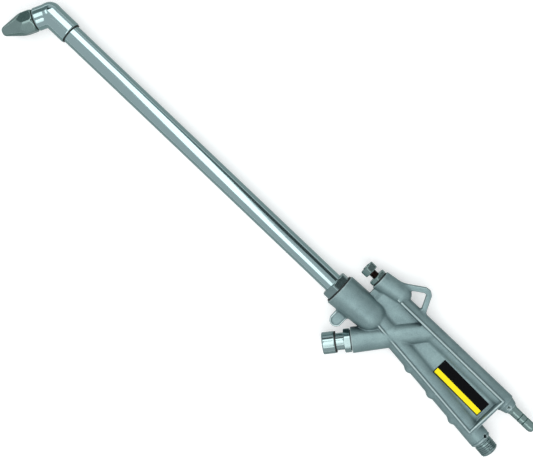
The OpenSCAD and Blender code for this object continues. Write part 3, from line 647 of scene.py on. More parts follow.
@dataclass(frozen=True)
class PrintedFilm:
    """Screen-printed vinyl: flat ink that is nearly matt, with a faint ripple in the film."""

    name: str
    ink: str
    roughness: float = 0.5
    ior: float = 1.42
    gloss: float = 0.03
    ripple_mm: float = 6.0
    ripple_height_mm: float = 0.05
    speck_mm: float = 0.6
    fade: Span = (1.12, 0.004)

    def build(self) -> Material:
        """Makes the material.

        Returns:
            The material.
        """
        material, tree = new_material(self.name)
        place = add_node(tree, "ShaderNodeTexCoord").outputs["Object"]
        ripple = add_node(tree, "ShaderNodeTexNoise", inputs={
            "Vector": place, "Scale": per_mm(self.ripple_mm), "Detail": 2.0})
        specks = add_node(tree, "ShaderNodeTexNoise", inputs={
            "Vector": place, "Scale": per_mm(self.speck_mm), "Detail": 2.0})
        ink = to_linear(self.ink)
        worn = tuple(min(1.0, c * self.fade[0] + self.fade[1]) for c in ink)
        colour = add_node(tree, "ShaderNodeMix", {"data_type": "RGBA"}, {
            0: specks.outputs["Fac"], 6: ink, 7: worn})
        relief = add_node(tree, "ShaderNodeBump", inputs={
            "Height": ripple.outputs["Fac"], "Strength": 0.2, "Distance": self.ripple_height_mm * MM})
        shader = add_node(tree, "ShaderNodeBsdfPrincipled", inputs={
            "Base Color": colour.outputs[2], "Normal": relief.outputs[0],
            "Roughness": self.roughness, "IOR": self.ior, "Specular IOR Level": self.gloss})
        add_node(tree, "ShaderNodeOutputMaterial", inputs={"Surface": shader.outputs[0]})
        return material


def make_finishes() -> Finishes:
    """Makes the material of each slot, once for the whole gun.

    Returns:
        The materials by slot.
    """
    looks = {
        Slot.CASTING: CastMetal(),
        Slot.CHROME_TUBE: PlainMetal(
            "Chrome-plated drawn steel", "B0C8C9", "A8C0C1", (0.07, 0.13),
            grain_mm=(14.0, 0.4, 0.4), grain_height_mm=0.002, stain_mm=30.0),
        Slot.BRIGHT_CHROME: PlainMetal(
            "Chrome-plated turned brass", "A9BEBE", "9BB1B1", (0.08, 0.16),
            grain_mm=(0.6, 0.6, 0.6), grain_height_mm=0.002),
        Slot.DULL_STEEL: PlainMetal(
            "Zinc-plated turned steel", "92A9A6", "849B98", (0.16, 0.24),
            grain_height_mm=0.0015, corner_shade_share=0.8),
        Slot.DARK_STEEL: PlainMetal(
            "Blackened turned steel", "94AAAA", "7A9090", (0.12, 0.20), corner_shade_share=0.95),
        Slot.BROWNED_STEEL: PlainMetal("Oil-browned turned steel", "4A3530", "2B211F", (0.30, 0.42)),
        Slot.BRASS: PlainMetal("Turned brass", "C9A55A", "B3904A", (0.22, 0.34)),
        Slot.BLACK_RUBBER: SoftStuff("Moulded nitrile rubber", "0B0D0D", "181C1B", 0.55),
        Slot.WHITE_PACKING: SoftStuff("Pressed fluoropolymer packing", "E4E2D8", "D3D0C4", 0.5),
    }
    return {slot: look.build() for slot, look in looks.items()}


def dress(finishes: Finishes, slots: dict[str, Slot]) -> None:
    """Gives the CAD nodes that stay visible their materials.

    Args:
        finishes: Materials of the slots.
        slots: Slot of each node.
    """
    for node, slot in slots.items():
        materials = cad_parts[node].data.materials
        materials.clear()
        materials.append(finishes[slot])
        LOG.info("%s: CAD solid with %s", node, finishes[slot].name)


# Pieces


def add_piece(
    name: str,
    points: np.ndarray,
    faces: Sequence[Sequence[int]],
    body: Body,
    finish: Material,
    stands_for: Sequence[str] = (),
    sharp: float = CRISP,
) -> bpy.types.Object:
    """Makes a scene piece that rides on a body.

    Args:
        name: Name of the piece.
        points: Points in millimetres from the barrel's mouth.
        faces: Faces.
        body: Body that it rides on.
        finish: Its material.
        stands_for: CAD nodes that it replaces.
        sharp: Angle in degrees above which an edge stays crisp.

    Returns:
        The object.
    """
    mesh = bpy.data.meshes.new(name)
    mesh.from_pydata(((points + MOUTH) * MM).tolist(), [], [tuple(int(i) for i in f) for f in faces])
    bm = bmesh.new()
    bm.from_mesh(mesh)
    bmesh.ops.remove_doubles(bm, verts=bm.verts, dist=1e-6)
    bmesh.ops.recalc_face_normals(bm, faces=bm.faces)
    bm.to_mesh(mesh)
    bm.free()
    mesh.shade_smooth()
    mesh.set_sharp_from_angle(angle=math.radians(sharp))
    mesh.materials.append(finish)
    obj = bpy.data.objects.new(name, mesh)
    bpy.context.scene.collection.objects.link(obj)
    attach(obj, body.value)
    if stands_for:
        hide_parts(*stands_for)
    LOG.info("%s: %d faces on %s", name, len(mesh.polygons), body.value)
    return obj


@dataclass(frozen=True)
class Corner:
    """Corner of a turned profile.

    Attributes:
        run: Place along the axis.
        radius: Distance from the axis.
        fillet: Rounding of the corner.
    """

    run: float
    radius: float
    fillet: float = 0.15


def corners(*rows: tuple[float, ...]) -> tuple[Corner, ...]:
    """Corners from rows that hold what Corner does, in its order."""
    return tuple(Corner(*row) for row in rows)


def rounded(profile: Sequence[Corner], loop: bool, steps: int = 4) -> list[Plan]:
    """Profile with each corner rounded.

    Args:
        profile: Corners in order.
        loop: Whether the last corner joins the first.
        steps: Segments of each rounding.

    Returns:
        Places of (run, radius).
    """
    out: list[Plan] = []
    count = len(profile)
    for i, here in enumerate(profile):
        at = np.array([here.run, here.radius])
        if here.fillet <= 0 or (not loop and i in (0, count - 1)):
            out.append((here.run, here.radius))
            continue
        before, after = profile[i - 1], profile[(i + 1) % count]
        back = np.array([before.run, before.radius]) - at
        forth = np.array([after.run, after.radius]) - at
        lb, lf = float(np.linalg.norm(back)), float(np.linalg.norm(forth))
        cut = min(here.fillet, 0.45 * lb, 0.45 * lf)
        a, b = at + back / lb * cut, at + forth / lf * cut
        for t in (k / steps for k in range(steps + 1)):
            q = (1 - t) ** 2 * a + 2 * t * (1 - t) * at + t * t * b
            out.append((float(q[0]), float(q[1])))
    return out


def spread(profile: Sequence[Plan], longest: float, loop: bool) -> list[Plan]:
    """Profile with more points wherever it runs far without one.

    Args:
        profile: Places of (run, radius).
        longest: Longest run without a point.
        loop: Whether the last place joins the first.

    Returns:
        Places of (run, radius).
    """
    out: list[Plan] = []
    ends = list(profile) + ([profile[0]] if loop else [])
    for (s0, r0), (s1, r1) in zip(ends[:-1], ends[1:]):
        n = max(1, math.ceil(math.hypot(s1 - s0, r1 - r0) / longest))
        out += [(s0 + (s1 - s0) * k / n, r0 + (r1 - r0) * k / n) for k in range(n)]
    return out if loop else out + [profile[-1]]


@dataclass(frozen=True)
class Turned:
    """Piece turned round an axis in the plan, with a hexagon or a thread where it has one.

    Attributes:
        name: Name of the scene piece.
        node: CAD node that it replaces.
        slot: Material slot.
        origin: Plan point where the run is zero.
        angle: Plan direction of the axis.
        profile: Corners of the profile.
        body: Body that it rides on.
        sharp: Angle in degrees above which an edge stays crisp.
        loop: Whether the profile closes on itself round a bore.
        flats: Distance across the flats, or 0 for a round piece.
        flat_runs: Stretch of the axis where the hexagon holds.
        turn: Turn of the hexagon about the axis, 0 with a corner up.
        sides: Points round the axis.
        longest: Longest run of the profile without a point.
        pitch: Thread pitch, or 0 for no thread.
        depth: Thread depth.
        thread_runs: Stretch of the axis with a thread.
    """

    name: str
    node: str
    slot: Slot
    origin: Plan
    angle: float
    profile: tuple[Corner, ...]
    body: Body = Body.GUN
    sharp: float = CRISP
    loop: bool = True
    flats: float = 0.0
    flat_runs: Span = (0.0, 0.0)
    turn: float = 0.0
    sides: int = 72
    longest: float = 4.0
    pitch: float = 0.0
    depth: float = 0.0
    thread_runs: Span = (0.0, 0.0)

    def angles(self) -> np.ndarray:
        """Angles of the points round the axis, closer together at a hexagon's corners.

        Returns:
            Angles in radians.
        """
        if not self.flats:
            return np.arange(self.sides) * (2 * math.pi / self.sides)
        share = np.array([-30, -29, -27.4, -24, -16, -8, 0, 8, 16, 24, 27.4, 29])
        return np.radians(np.concatenate([share + 60 * k + 30 for k in range(6)]) + self.turn)

    def radius_at(self, theta: np.ndarray, run: float, radius: float) -> np.ndarray:
        """Radius round one ring, after the hexagon and the thread.

        Args:
            theta: Angles round the axis.
            run: Place along the axis.
            radius: Radius of the profile there.

        Returns:
            Radius at each angle.
        """
        r = np.full(len(theta), radius)
        if self.flats and self.flat_runs[0] <= run <= self.flat_runs[1] and radius > self.flats * 0.47:
            off = np.mod(np.degrees(theta) - self.turn, 60.0) - 30.0
            hexagon = self.flats / 2 / np.cos(np.radians(off))
            worn_tip = self.flats / 2 / math.cos(math.pi / 6) * 0.985
            hexagon = smooth_min(hexagon, np.full(len(theta), worn_tip), self.flats * 0.02)
            r = smooth_min(r, hexagon, 0.3)
        if self.pitch and self.thread_runs[0] <= run <= self.thread_runs[1]:
            phase = np.mod(run / self.pitch - theta / (2 * math.pi), 1.0)
            tooth = np.clip(1.3 * np.abs(2 * phase - 1) - 0.15, 0.0, 1.0)
            ease = min(run - self.thread_runs[0], self.thread_runs[1] - run) / self.pitch
            r = r - self.depth * tooth * min(1.0, max(0.0, ease))
        return r

    def mesh(self) -> tuple[np.ndarray, list[Face]]:
        """Makes the piece's mesh.

        Returns:
            Points in millimetres from the barrel's mouth, and faces.
        """
        profile = spread(rounded(self.profile, self.loop), self.longest, self.loop)
        theta = self.angles()
        axis, side = heading(self.angle), heading(self.angle + math.pi / 2)
        ring_way = np.cos(theta)[:, None] * UP + np.sin(theta)[:, None] * side
        points: list[np.ndarray] = []
        for run, radius in profile:
            r = self.radius_at(theta, run, max(radius, 1e-3))
            points.append(plan(self.origin) + run * axis + r[:, None] * ring_way)
        n, rows = len(theta), len(profile)
        faces: list[Face] = []
        for j in range(rows if self.loop else rows - 1):
            k = (j + 1) % rows
            for i in range(n):
                m = (i + 1) % n
                faces.append((j * n + i, j * n + m, k * n + m, k * n + i))
        if not self.loop:
            faces.append(tuple(reversed(range(n))))
            faces.append(tuple((rows - 1) * n + i for i in range(n)))
        return np.concatenate(points), faces

    def place(self, finishes: Finishes) -> None:
        """Makes the piece and puts it in place of its CAD node.

        Args:
            finishes: Materials of the slots.
        """
        points, faces = self.mesh()
        add_piece(
            self.name, points, faces, self.body, finishes[self.slot], [self.node], self.sharp)


def seal(
    name: str, node: str, origin: Plan, angle: float, runs: Span, radii: Span, fillets: Span,
    body: Body = Body.GUN,
) -> Turned:
    """Rubber ring with a rectangular section.

    Args:
        name: Name of the scene piece.
        node: CAD node that it replaces.
        origin: Plan point where the run is zero.
        angle: Plan direction of the axis.
        runs: Ends along the axis.
        radii: Inner and outer radius.
        fillets: Rounding of the inner and of the outer corners.
        body: Body that it rides on.

    Returns:
        The piece.
    """
    section = [(run, radii[i], fillets[i]) for run, i in zip(np.repeat(runs, 2).tolist(), (0, 1, 1, 0))]
    return Turned(name, node, Slot.BLACK_RUBBER, origin, angle, corners(*section), body)


# Sub-assemblies


@dataclass(frozen=True)
class Bore:
    """Round bore of the casting, by its ends along an axis and its radius."""

    start: float
    end: float
    radius: float


@dataclass
class CastBody:
    """Body casting: barrel, needle boss, valve branch, handle with its hollow, loop and ear.

    Names that end in _r are radii, in _w widths, in _half half thicknesses, in _x and _y places in
    the plan. A pair of radii goes with the two ends of a form. The bores of barrel, needle and hose
    tail lie along X, those of valve and inlet count inward from branch's mouth and inlet's boss.
    """

    # Corners of the grid that the surface is meshed on, with its planes clear of the flat faces
    grid: tuple[Spot, Spot] = ((-145.62, -46.13, -13.21), (2.0, 27.5, 13.3))
    step: float = 0.5
    dome: Plan = (-27.6, -1.7)
    barrel_r: Span = (11.4, 12.2)
    boss_end: Plan = (-33.0, -27.0)
    boss_front: Plan = (-13.4, -23.77)
    boss_mouth_x: float = -15.4
    boss_r: Span = (7.0, 7.35)
    branch_depth: Span = (-2.0, 65.0)
    branch_r: Span = (9.2, 7.75)
    branch_stop_y: float = -22.3
    inlet_boss: Plan = (-143.5, 8.35)
    front_len: float = 116.5
    front_behind: float = 8.0
    front_r: float = 7.6
    front_chamfer: float = 1.2
    groove_run: float = 2.6
    groove_lift: float = 0.05
    groove_r: float = 0.42
    rear_x: Span = (-136.4, -33.0)
    rear_r: float = 6.8
    tail_boss_x: Span = (-141.6, -135.4)
    tail_boss_r: Span = (4.8, 6.5)
    flat_from: Plan = (-57.0, -22.7)
    flat_drop: float = 1.7
    web_front: tuple[Plan, Plan] = ((-16.7, -11.4), (-16.7, -20.65))
    web_back_x: float = -132.0
    web_half: float = 3.8
    thin_half: float = 2.4
    thin_x: float = -20.6
    thin_run: float = 3.0
    bead_x: float = -36.5
    bead_w: float = 1.5
    bead_half: float = 8.7
    wall_x: Span = (-134.1, -131.1)
    wall_half: float = 7.3
    ridge_x: tuple[float, ...] = (-72.3, -95.3, -118.3)
    ridge_r: float = 3.8
    ridge_half: float = 2.0
    ridge_sunk: float = 2.6
    loop_path: tuple[Plan, ...] = (
        (-52.8, -27.1), (-46.95, -39.6), (-45.2, -40.75), (-42.7, -40.55), (-27.9, -30.6))
    loop_w: float = 3.9
    loop_half: float = 2.5
    ear_tip: Plan = (-13.0, 17.0)
    ear_r: float = 4.6
    ear_half: float = 2.2
    ear_rim_w: float = 1.15
    ear_sunk_half: float = 1.65
    barrel_bores: tuple[Bore, ...] = (
        Bore(-12.0, 3.0, 8.6), Bore(-20.55, 3.0, 7.08), Bore(-33.0, -10.0, 5.8), Bore(-39.0, -32.0, 3.54))
    valve_bores: tuple[Bore, ...] = (Bore(-3.0, 8.0, 6.06), Bore(-3.0, 30.6, 4.78), Bore(0.0, 44.0, 4.27))
    inlet_bores: tuple[Bore, ...] = (Bore(-3.0, 9.0, 5.06),)
    needle_bores: tuple[Bore, ...] = (
        Bore(-23.8, -12.0, 4.36), Bore(-33.0, -15.0, 2.97), Bore(-36.0, -32.0, 1.5))
    tail_bores: tuple[Bore, ...] = (Bore(-144.0, -134.5, 3.36),)
    lock_r: float = 1.26
    front_lock: Span = (2.5, 12.0)
    front_lock_turn: float = 40.0
    rear_lock: Span = (1.6, 9.0)
    rear_lock_x: float = -139.0

    def front_y(self, x: float) -> float:
        """Place of the front tube's axis."""
        return self.inlet_boss[1] - (x - self.inlet_boss[0]) * math.tan(FRONT_SLOPE)

    def barrel(self, p: np.ndarray) -> np.ndarray:
        """Distance to the barrel with its closed dome."""
        d = capsule(p, plan(self.dome), plan((1.0, 0.0)), *self.barrel_r)
        return smooth_max(d, p[:, 0], 0.9)

    def needle_boss(self, p: np.ndarray) -> np.ndarray:
        """Distance to the needle boss."""
        d = capsule(p, plan(self.boss_end), plan(self.boss_front), *self.boss_r)
        return smooth_max(d, p[:, 0] - self.boss_mouth_x, 0.7)

    def branch(self, p: np.ndarray) -> np.ndarray:
        """Distance to the cross tube of the push valve, which runs on to the bead.

        Args:
            p: Points.

        Returns:
            The distance at each point.
        """
        mouth, out = plan(BRANCH_MOUTH), heading(BRANCH_ANGLE)
        d = rod(p, mouth - self.branch_depth[0] * out, mouth - self.branch_depth[1] * out, *self.branch_r)
        d = smooth_max(d, self.branch_stop_y - p[:, 1], 0.8)
        past = (p - mouth.astype(np.float32)) @ out.astype(np.float32)
        return smooth_max(d, past, 0.7)

    def front_tube(self, p: np.ndarray) -> np.ndarray:
        """Distance to the tube on the finger side, with its groove and chamfered end.

        Args:
            p: Points.

        Returns:
            The distance at each point.
        """
        start, way = plan(self.inlet_boss), heading(-FRONT_SLOPE)
        end = start + self.front_len * way
        run, away, _ = along_axis(p, start, end)
        d = capsule(p, start - self.front_behind * way, end, self.front_r)
        chamfer = (away - self.front_r + self.front_chamfer - run) * math.sqrt(0.5)
        d = smooth_max(np.maximum(d, -run), chamfer, 0.3)
        groove = np.hypot(away - self.front_r - self.groove_lift, run - self.groove_run) - self.groove_r
        return smooth_max(d, -groove, 0.2)

    def rear_tube(self, p: np.ndarray) -> np.ndarray:
        """Distance to the tube on the loop side, its flat and the tapered boss of the hose tail.

        Args:
            p: Points.

        Returns:
            The distance at each point.
        """
        d = rod(p, *(plan((x, REAR_Y)) for x in self.rear_x), self.rear_r, edge=0.7)
        boss = rod(p, *(plan((x, REAR_Y)) for x in self.tail_boss_x), *self.tail_boss_r, edge=0.5)
        side = np.maximum(self.flat_from[1] - p[:, 1], self.flat_from[0] - p[:, 0])
        flat = np.maximum(side, self.web_half - self.flat_drop - np.abs(p[:, 2]))
        return smooth_max(smooth_min(d, boss, 0.8), -flat, 0.4)

    def web(self, p: np.ndarray) -> np.ndarray:
        """Distance to the web between the tubes, which is thinner near the barrel's mouth.

        Args:
            p: Points.

        Returns:
            The distance at each point.
        """
        outline = [
            *self.web_front, self.boss_end, (-41.2, REAR_Y), (self.web_back_x, REAR_Y),
            (self.web_back_x, self.inlet_boss[1]), (self.dome[0], self.front_y(self.dome[0])),
        ]
        thick = np.clip((self.thin_x - p[:, 0]) / self.thin_run, 0.0, 1.0)
        half = self.thin_half + (self.web_half - self.thin_half) * thick
        return slab(p, polygon_distance(p, outline), half, 0.6)

    def end_wall(self, p: np.ndarray) -> np.ndarray:
        """Distance to the wall that closes the hollow at the inlets' end.

        Args:
            p: Points.

        Returns:
            The distance at each point.
        """
        (near, far), top = self.wall_x, self.inlet_boss[1]
        outline = [(near, REAR_Y), (near, top), (far, top), (far, REAR_Y)]
        return slab(p, polygon_distance(p, outline), self.wall_half, 0.5)

    def bead(self, p: np.ndarray) -> np.ndarray:
        """Distance to the rounded bead round the hollow.

        Args:
            p: Points.

        Returns:
            The distance at each point.
        """
        wall_mid = (self.wall_x[0] + self.wall_x[1]) / 2
        path = [
            (self.bead_x, self.front_y(self.bead_x) + 2.3),
            (wall_mid + 1.1, self.front_y(wall_mid) + 1.53),
            (wall_mid, REAR_Y - 0.5),
            (self.bead_x, REAR_Y - 1.5),
        ]
        return slab(p, path_distance(p, path) - self.bead_w / 2, self.bead_half, 0.6)

    def loop(self, p: np.ndarray) -> np.ndarray:
        """Distance to the hang loop's strip."""
        return slab(p, path_distance(p, self.loop_path) - self.loop_w / 2, self.loop_half, 0.9)

    def ear(self, p: np.ndarray) -> np.ndarray:
        """Distance to the ear, with a sunk face inside its rim.

        Args:
            p: Points.

        Returns:
            The distance at each point.
        """
        flat = path_distance(p, [(self.ear_tip[0], 0.0), self.ear_tip])
        d = slab(p, flat - self.ear_r, self.ear_half, 0.7)
        sunk = round_box(flat - self.ear_r + self.ear_rim_w, self.ear_sunk_half - np.abs(p[:, 2]), 0.3)
        return smooth_max(d, -sunk, 0.3)

    def bores(self, p: np.ndarray) -> np.ndarray:
        """Distance to the open space of the barrel, the valve, the needle and the fittings.

        Args:
            p: Points.

        Returns:
            The distance at each point.
        """
        inlet, inward, along = plan(self.inlet_boss), heading(-FRONT_SLOPE), heading(0.0)
        lines = (
            (plan((0.0, 0.0)), along, self.barrel_bores),
            (plan(BRANCH_MOUTH), -heading(BRANCH_ANGLE), self.valve_bores),
            (inlet, inward, self.inlet_bores),
            (plan((0.0, NEEDLE_Y)), along, self.needle_bores),
            (plan((0.0, REAR_Y)), along, self.tail_bores),
            (inlet + self.groove_run * inward, self.lock_way(-FRONT_SLOPE, self.front_lock_turn),
             (Bore(*self.front_lock, self.lock_r),)),
            (plan((self.rear_lock_x, REAR_Y)), self.lock_way(0.0, 0.0),
             (Bore(*self.rear_lock, self.lock_r),)),
        )
        return np.minimum.reduce([
            rod(p, at + bore.start * way, at + bore.end * way, bore.radius)
            for at, way, bores in lines for bore in bores])

    @staticmethod
    def lock_way(angle: float, turn: float) -> np.ndarray:
        """Direction of a lock screw's hole.

        Args:
            angle: Plan direction of the tube that the hole crosses.
            turn: Turn of the hole from straight up, in degrees.

        Returns:
            Unit vector outward.
        """
        t = math.radians(turn)
        return math.cos(t) * UP - math.sin(t) * heading(angle + math.pi / 2)

    def shape(self, p: np.ndarray) -> np.ndarray:
        """Distance to the whole casting.

        Args:
            p: Points.

        Returns:
            The distance at each point.
        """
        d = smooth_min(self.front_tube(p), self.rear_tube(p), 1.0)
        d = smooth_min(d, self.web(p), 1.3)
        d = smooth_min(d, self.end_wall(p), 1.2)
        d = smooth_min(d, self.branch(p), 0.8)
        d = smooth_min(d, smooth_min(self.barrel(p), self.needle_boss(p), 1.0), 0.8)
        for x in self.ridge_x:
            foot = plan((x, self.front_y(x) + self.front_r - self.ridge_sunk))
            ridge = capsule(p, foot - self.ridge_half * UP, foot + self.ridge_half * UP, self.ridge_r)
            d = smooth_min(d, ridge, 1.2)
        d = smooth_min(d, self.bead(p), 0.9)
        d = smooth_min(d, self.loop(p), 1.8)
        d = smooth_min(d, self.ear(p), 1.8)
        return smooth_max(d, -self.bores(p), 0.25)

    def build(self, finishes: Finishes) -> bpy.types.Object:
        """Makes the casting.

        Args:
            finishes: Materials of the slots.

        Returns:
            The casting's object.
        """
        points, faces = surface_of(self.shape, *self.grid, self.step)
        dress(finishes, {"lock_screws": Slot.DARK_STEEL})
        return add_piece(
            "cast_body", points, faces, Body.GUN, finishes[Slot.CASTING],
            ["body_casting"], sharp=60.0)


@dataclass
class Label:
    """Plain sticker on the web: black film with a yellow stripe, laid over the casting."""

    middle: Plan = (-106.6, -9.0)
    turn: float = -1.6
    x: Span = (-21.5, 21.5)
    y: Span = (-5.9, 5.9)
    stripe_x: Span = (-20.9, 20.9)
    stripe_y: Span = (1.5, 5.2)
    cell: Span = (0.7, 0.6)
    lift: float = 0.12
    edge_drop: float = 0.05
    film: float = 0.1
    web_z: float = 3.8
    ray_z: float = 20.0

    @staticmethod
    def lines(span: Span, inner: Span, step: float) -> list[float]:
        """Grid lines across the sticker that meet the stripe's edges exactly.

        Args:
            span: First and last line.
            inner: Edges of the stripe.
            step: Distance between lines, about.

        Returns:
            Places of the lines.
        """
        out: list[float] = []
        stops = [span[0], inner[0], inner[1], span[1]]
        for a, b in zip(stops[:-1], stops[1:]):
            n = max(1, round((b - a) / step))
            out += [a + (b - a) * k / n for k in range(n)]
        return out + [span[1]]

    def top(self, under: bpy.types.Object, xs: list[float], ys: list[float]) -> list[Spot]:
        """Points of the sticker's upper face, dropped onto the casting.

        Args:
            under: The casting's object.
            xs: Grid lines along the sticker.
            ys: Grid lines across it.

        Returns:
            Points in millimetres from the barrel's mouth.
        """
        tree = BVHTree.FromPolygons(
            [v.co.copy() for v in under.data.vertices], [tuple(f.vertices) for f in under.data.polygons])
        along = heading(math.radians(self.turn))
        across = heading(math.radians(self.turn + 90.0))
        out: list[Spot] = []
        for x, y in ((x, y) for x in xs for y in ys):
            spot = plan(self.middle) + x * along + y * across
            above = (spot + self.ray_z * UP + MOUTH) * MM
            hit = tree.ray_cast(Vector(above), Vector((0.0, 0.0, -1.0)))[0]
            z = hit.z * 1000 if hit else self.web_z
            inner = self.x[0] < x < self.x[1] and self.y[0] < y < self.y[1]
            out.append((float(spot[0]), float(spot[1]), z + self.lift - (0.0 if inner else self.edge_drop)))
        return out

    def build(self, under: bpy.types.Object) -> None:
        """Lays the sticker on the casting.

        Args:
            under: The casting's object.
        """
        xs = self.lines(self.x, self.stripe_x, self.cell[0])
        ys = self.lines(self.y, self.stripe_y, self.cell[1])
        top = self.top(under, xs, ys)
        points = np.array(top + [(x, y, z - self.lift - self.film) for x, y, z in top])
        n, half = len(ys), len(top)
        faces: list[Face] = []
        yellow: set[int] = set()
        for i in range(len(xs) - 1):
            for j in range(n - 1):
                a = i * n + j
                mx, my = (xs[i] + xs[i + 1]) / 2, (ys[j] + ys[j + 1]) / 2
                if self.stripe_x[0] < mx < self.stripe_x[1] and self.stripe_y[0] < my < self.stripe_y[1]:
                    yellow.add(len(faces))
                faces.append((a, a + n, a + n + 1, a + 1))
                faces.append((a + half, a + half + 1, a + half + n + 1, a + half + n))
        ring = [i * n for i in range(len(xs))] + [(len(xs) - 1) * n + j for j in range(1, n)]
        ring += [i * n + n - 1 for i in range(len(xs) - 2, -1, -1)] + list(range(n - 2, 0, -1))
        faces += [(a, b, b + half, a + half) for a, b in zip(ring, ring[1:] + ring[:1])]
        black = PrintedFilm("Black vinyl film", "050608").build()
        sticker = add_piece("label_film", points, faces, Body.GUN, black, sharp=50.0)
        sticker.data.materials.append(PrintedFilm("Yellow vinyl ink", "F4E420").build())
        for i in yellow:
            sticker.data.polygons[i].material_index = 1


@dataclass
class Fittings:
    """Threaded air inlet and the hose tail of the siphon."""

    inlet_face: Plan = (-153.141, 9.4195)
    thread_r: float = 6.58
    tail_tip_x: float = -162.62

    def build(self, finishes: Finishes) -> None:
        """Makes both fittings.

        Args:
            finishes: Materials of the slots.
        """
        r = self.thread_r
        Turned(
            "air_inlet_nipple", "inlet_nipple", Slot.DARK_STEEL, self.inlet_face, -FRONT_SLOPE,
            corners(
                (0.0, 3.0, 0.3), (0.0, 4.6, 0.5), (1.2, r, 1.2), (8.4, r, 0.3), (8.9, 5.9, 0.2),
                (9.72, 5.9, 0.1), (9.72, 5.0, 0.1), (17.7, 5.0), (17.7, 3.0)),
            sides=96, longest=0.16, pitch=1.337, depth=0.42, thread_runs=(0.9, 8.4)).place(finishes)
        Turned(
            "siphon_hose_tail", "hose_tail", Slot.DULL_STEEL, (self.tail_tip_x, REAR_Y), 0.0,
            corners(
                (0.0, 2.0, 0.2), (0.0, 2.3, 0.2), (0.9, 3.1, 0.6), (2.6, 3.5, 0.8), (8.2, 3.5, 0.1),
                (8.4, 2.9, 0.15), (9.0, 3.46, 0.2), (12.5, 3.5, 0.1), (12.7, 2.9, 0.15),
                (13.3, 3.46, 0.2), (18.7, 3.5, 0.6), (21.2, 4.3, 0.2), (21.2, 3.3, 0.1),
                (28.2, 3.3), (28.2, 2.0)),
            longest=1.0).place(finishes)


@dataclass
class Gland:
    """Gland nut and the ring under it, at the barrel's mouth."""

    flats: float = 19.0

    def build(self, finishes: Finishes) -> None:
        """Makes the nut and the ring.

        Args:
            finishes: Materials of the slots.
        """
        Turned(
            "gland_nut_turned", "gland_nut", Slot.DARK_STEEL, (0.0, 0.0), 0.0,
            corners(
                (-5.5, 7.06, 0.2), (-5.5, 8.56, 0.3), (0.9, 8.56, 0.05), (0.9, 10.85, 0.1),
                (5.2, 10.95, 0.3), (6.1, 9.6, 0.25), (6.1, 7.5, 0.2), (5.7, 7.06, 0.1)),
            flats=self.flats, flat_runs=(0.85, 6.2), longest=0.35).place(finishes)
        # Black ring under the nut: a gasket whose black also draws the shadow line under the nut, partly
        # painted shade
        seal("gland_ring", "gland_gasket", (0.0, 0.0), 0.0,
             (0.02, 0.88), (8.62, 11.28), (0.1, 0.25)).place(finishes)
        dress(finishes, {
            "gland_washer": Slot.DULL_STEEL, "gland_packing": Slot.BLACK_RUBBER, "air_jet": Slot.BRASS})


@dataclass
class Wand:
    """Chromed tube with its elbow and its hexagonal nozzle."""

    bend: Plan = (275.2, 0.0)
    leg_r: Span = (8.15, 8.25)
    seam_x: float = 256.0
    leg_len: float = 10.8
    seat_run: float = 11.6
    bore_start_x: float = 262.0
    bore_r: float = 4.5
    socket_end_x: float = 268.8
    socket_r: float = 7.02
    spigot_runs: Span = (4.5, 14.0)
    spigot_r: float = 5.26
    grid: tuple[Spot, Spot] = ((254.6, -10.0, -9.6), (287.5, 15.5, 9.6))
    step: float = 0.4

    def elbow(self, p: np.ndarray) -> np.ndarray:
        """Distance to the elbow.

        Args:
            p: Points.

        Returns:
            The distance at each point.
        """
        bend, way = plan(self.bend), heading(ELBOW_ANGLE)
        first = capsule(p, plan((self.seam_x - 12.0, 0.0)), bend, self.leg_r[1])
        second = capsule(p, bend, bend + (self.leg_len + 10.0) * way, *self.leg_r)
        d = smooth_min(first, second, 0.9)
        d = smooth_max(d, self.seam_x - p[:, 0], 0.9)
        d = smooth_max(d, (p - bend.astype(np.float32)) @ way.astype(np.float32) - self.leg_len, 0.9)
        cuts = np.minimum.reduce([
            rod(p, plan((self.seam_x - 3.0, 0.0)), plan((self.socket_end_x, 0.0)), self.socket_r),
            capsule(p, plan((self.bore_start_x, 0.0)), bend, self.bore_r),
            capsule(p, bend, bend + 20.0 * way, self.bore_r),
            rod(p, *(bend + run * way for run in self.spigot_runs), self.spigot_r),
        ])
        return smooth_max(d, -cuts, 0.2)

    def build(self, finishes: Finishes) -> None:
        """Makes the wand's pieces.

        Args:
            finishes: Materials of the slots.
        """
        points, faces = surface_of(self.elbow, *self.grid, self.step)
        add_piece("elbow_bent", points, faces, Body.WAND, finishes[Slot.CHROME_TUBE],
                  ["elbow"], sharp=55.0)
        seat = tuple((plan(self.bend) + self.seat_run * heading(ELBOW_ANGLE))[:2].tolist())
        Turned(
            "hex_nozzle", "nozzle", Slot.DULL_STEEL, seat, ELBOW_ANGLE,
            corners(
                (-7.0, 4.0, 0.1), (-7.0, 5.2, 0.2), (0.0, 5.2, 0.05), (0.0, 7.55, 0.2), (1.9, 9.15, 0.4),
                (6.4, 9.15, 0.4), (23.2, 3.4, 0.6), (24.4, 2.3, 0.8), (24.4, 1.5, 0.1),
                (14.3, 1.5, 0.1), (6.4, 4.0, 0.1)),
            Body.WAND, sharp=30.0, flats=15.5, flat_runs=(-0.05, 24.5), longest=0.45).place(finishes)
        seal("nozzle_ring", "nozzle_gasket", seat, ELBOW_ANGLE,
             (-0.78, -0.02), (5.25, 7.4), (0.15, 0.2), Body.WAND).place(finishes)
        # Black ring at the seam between tube and elbow, painted shade: it stands for the shadow line at the
        # seam
        seal("elbow_seam", "elbow_seam_ring", (self.seam_x, 0.0), 0.0,
             (-0.68, -0.02), (7.02, 7.85), (0.15, 0.25), Body.WAND).place(finishes)
        dress(finishes, {"wand_tube": Slot.CHROME_TUBE, "wand_ferrule": Slot.BRASS})


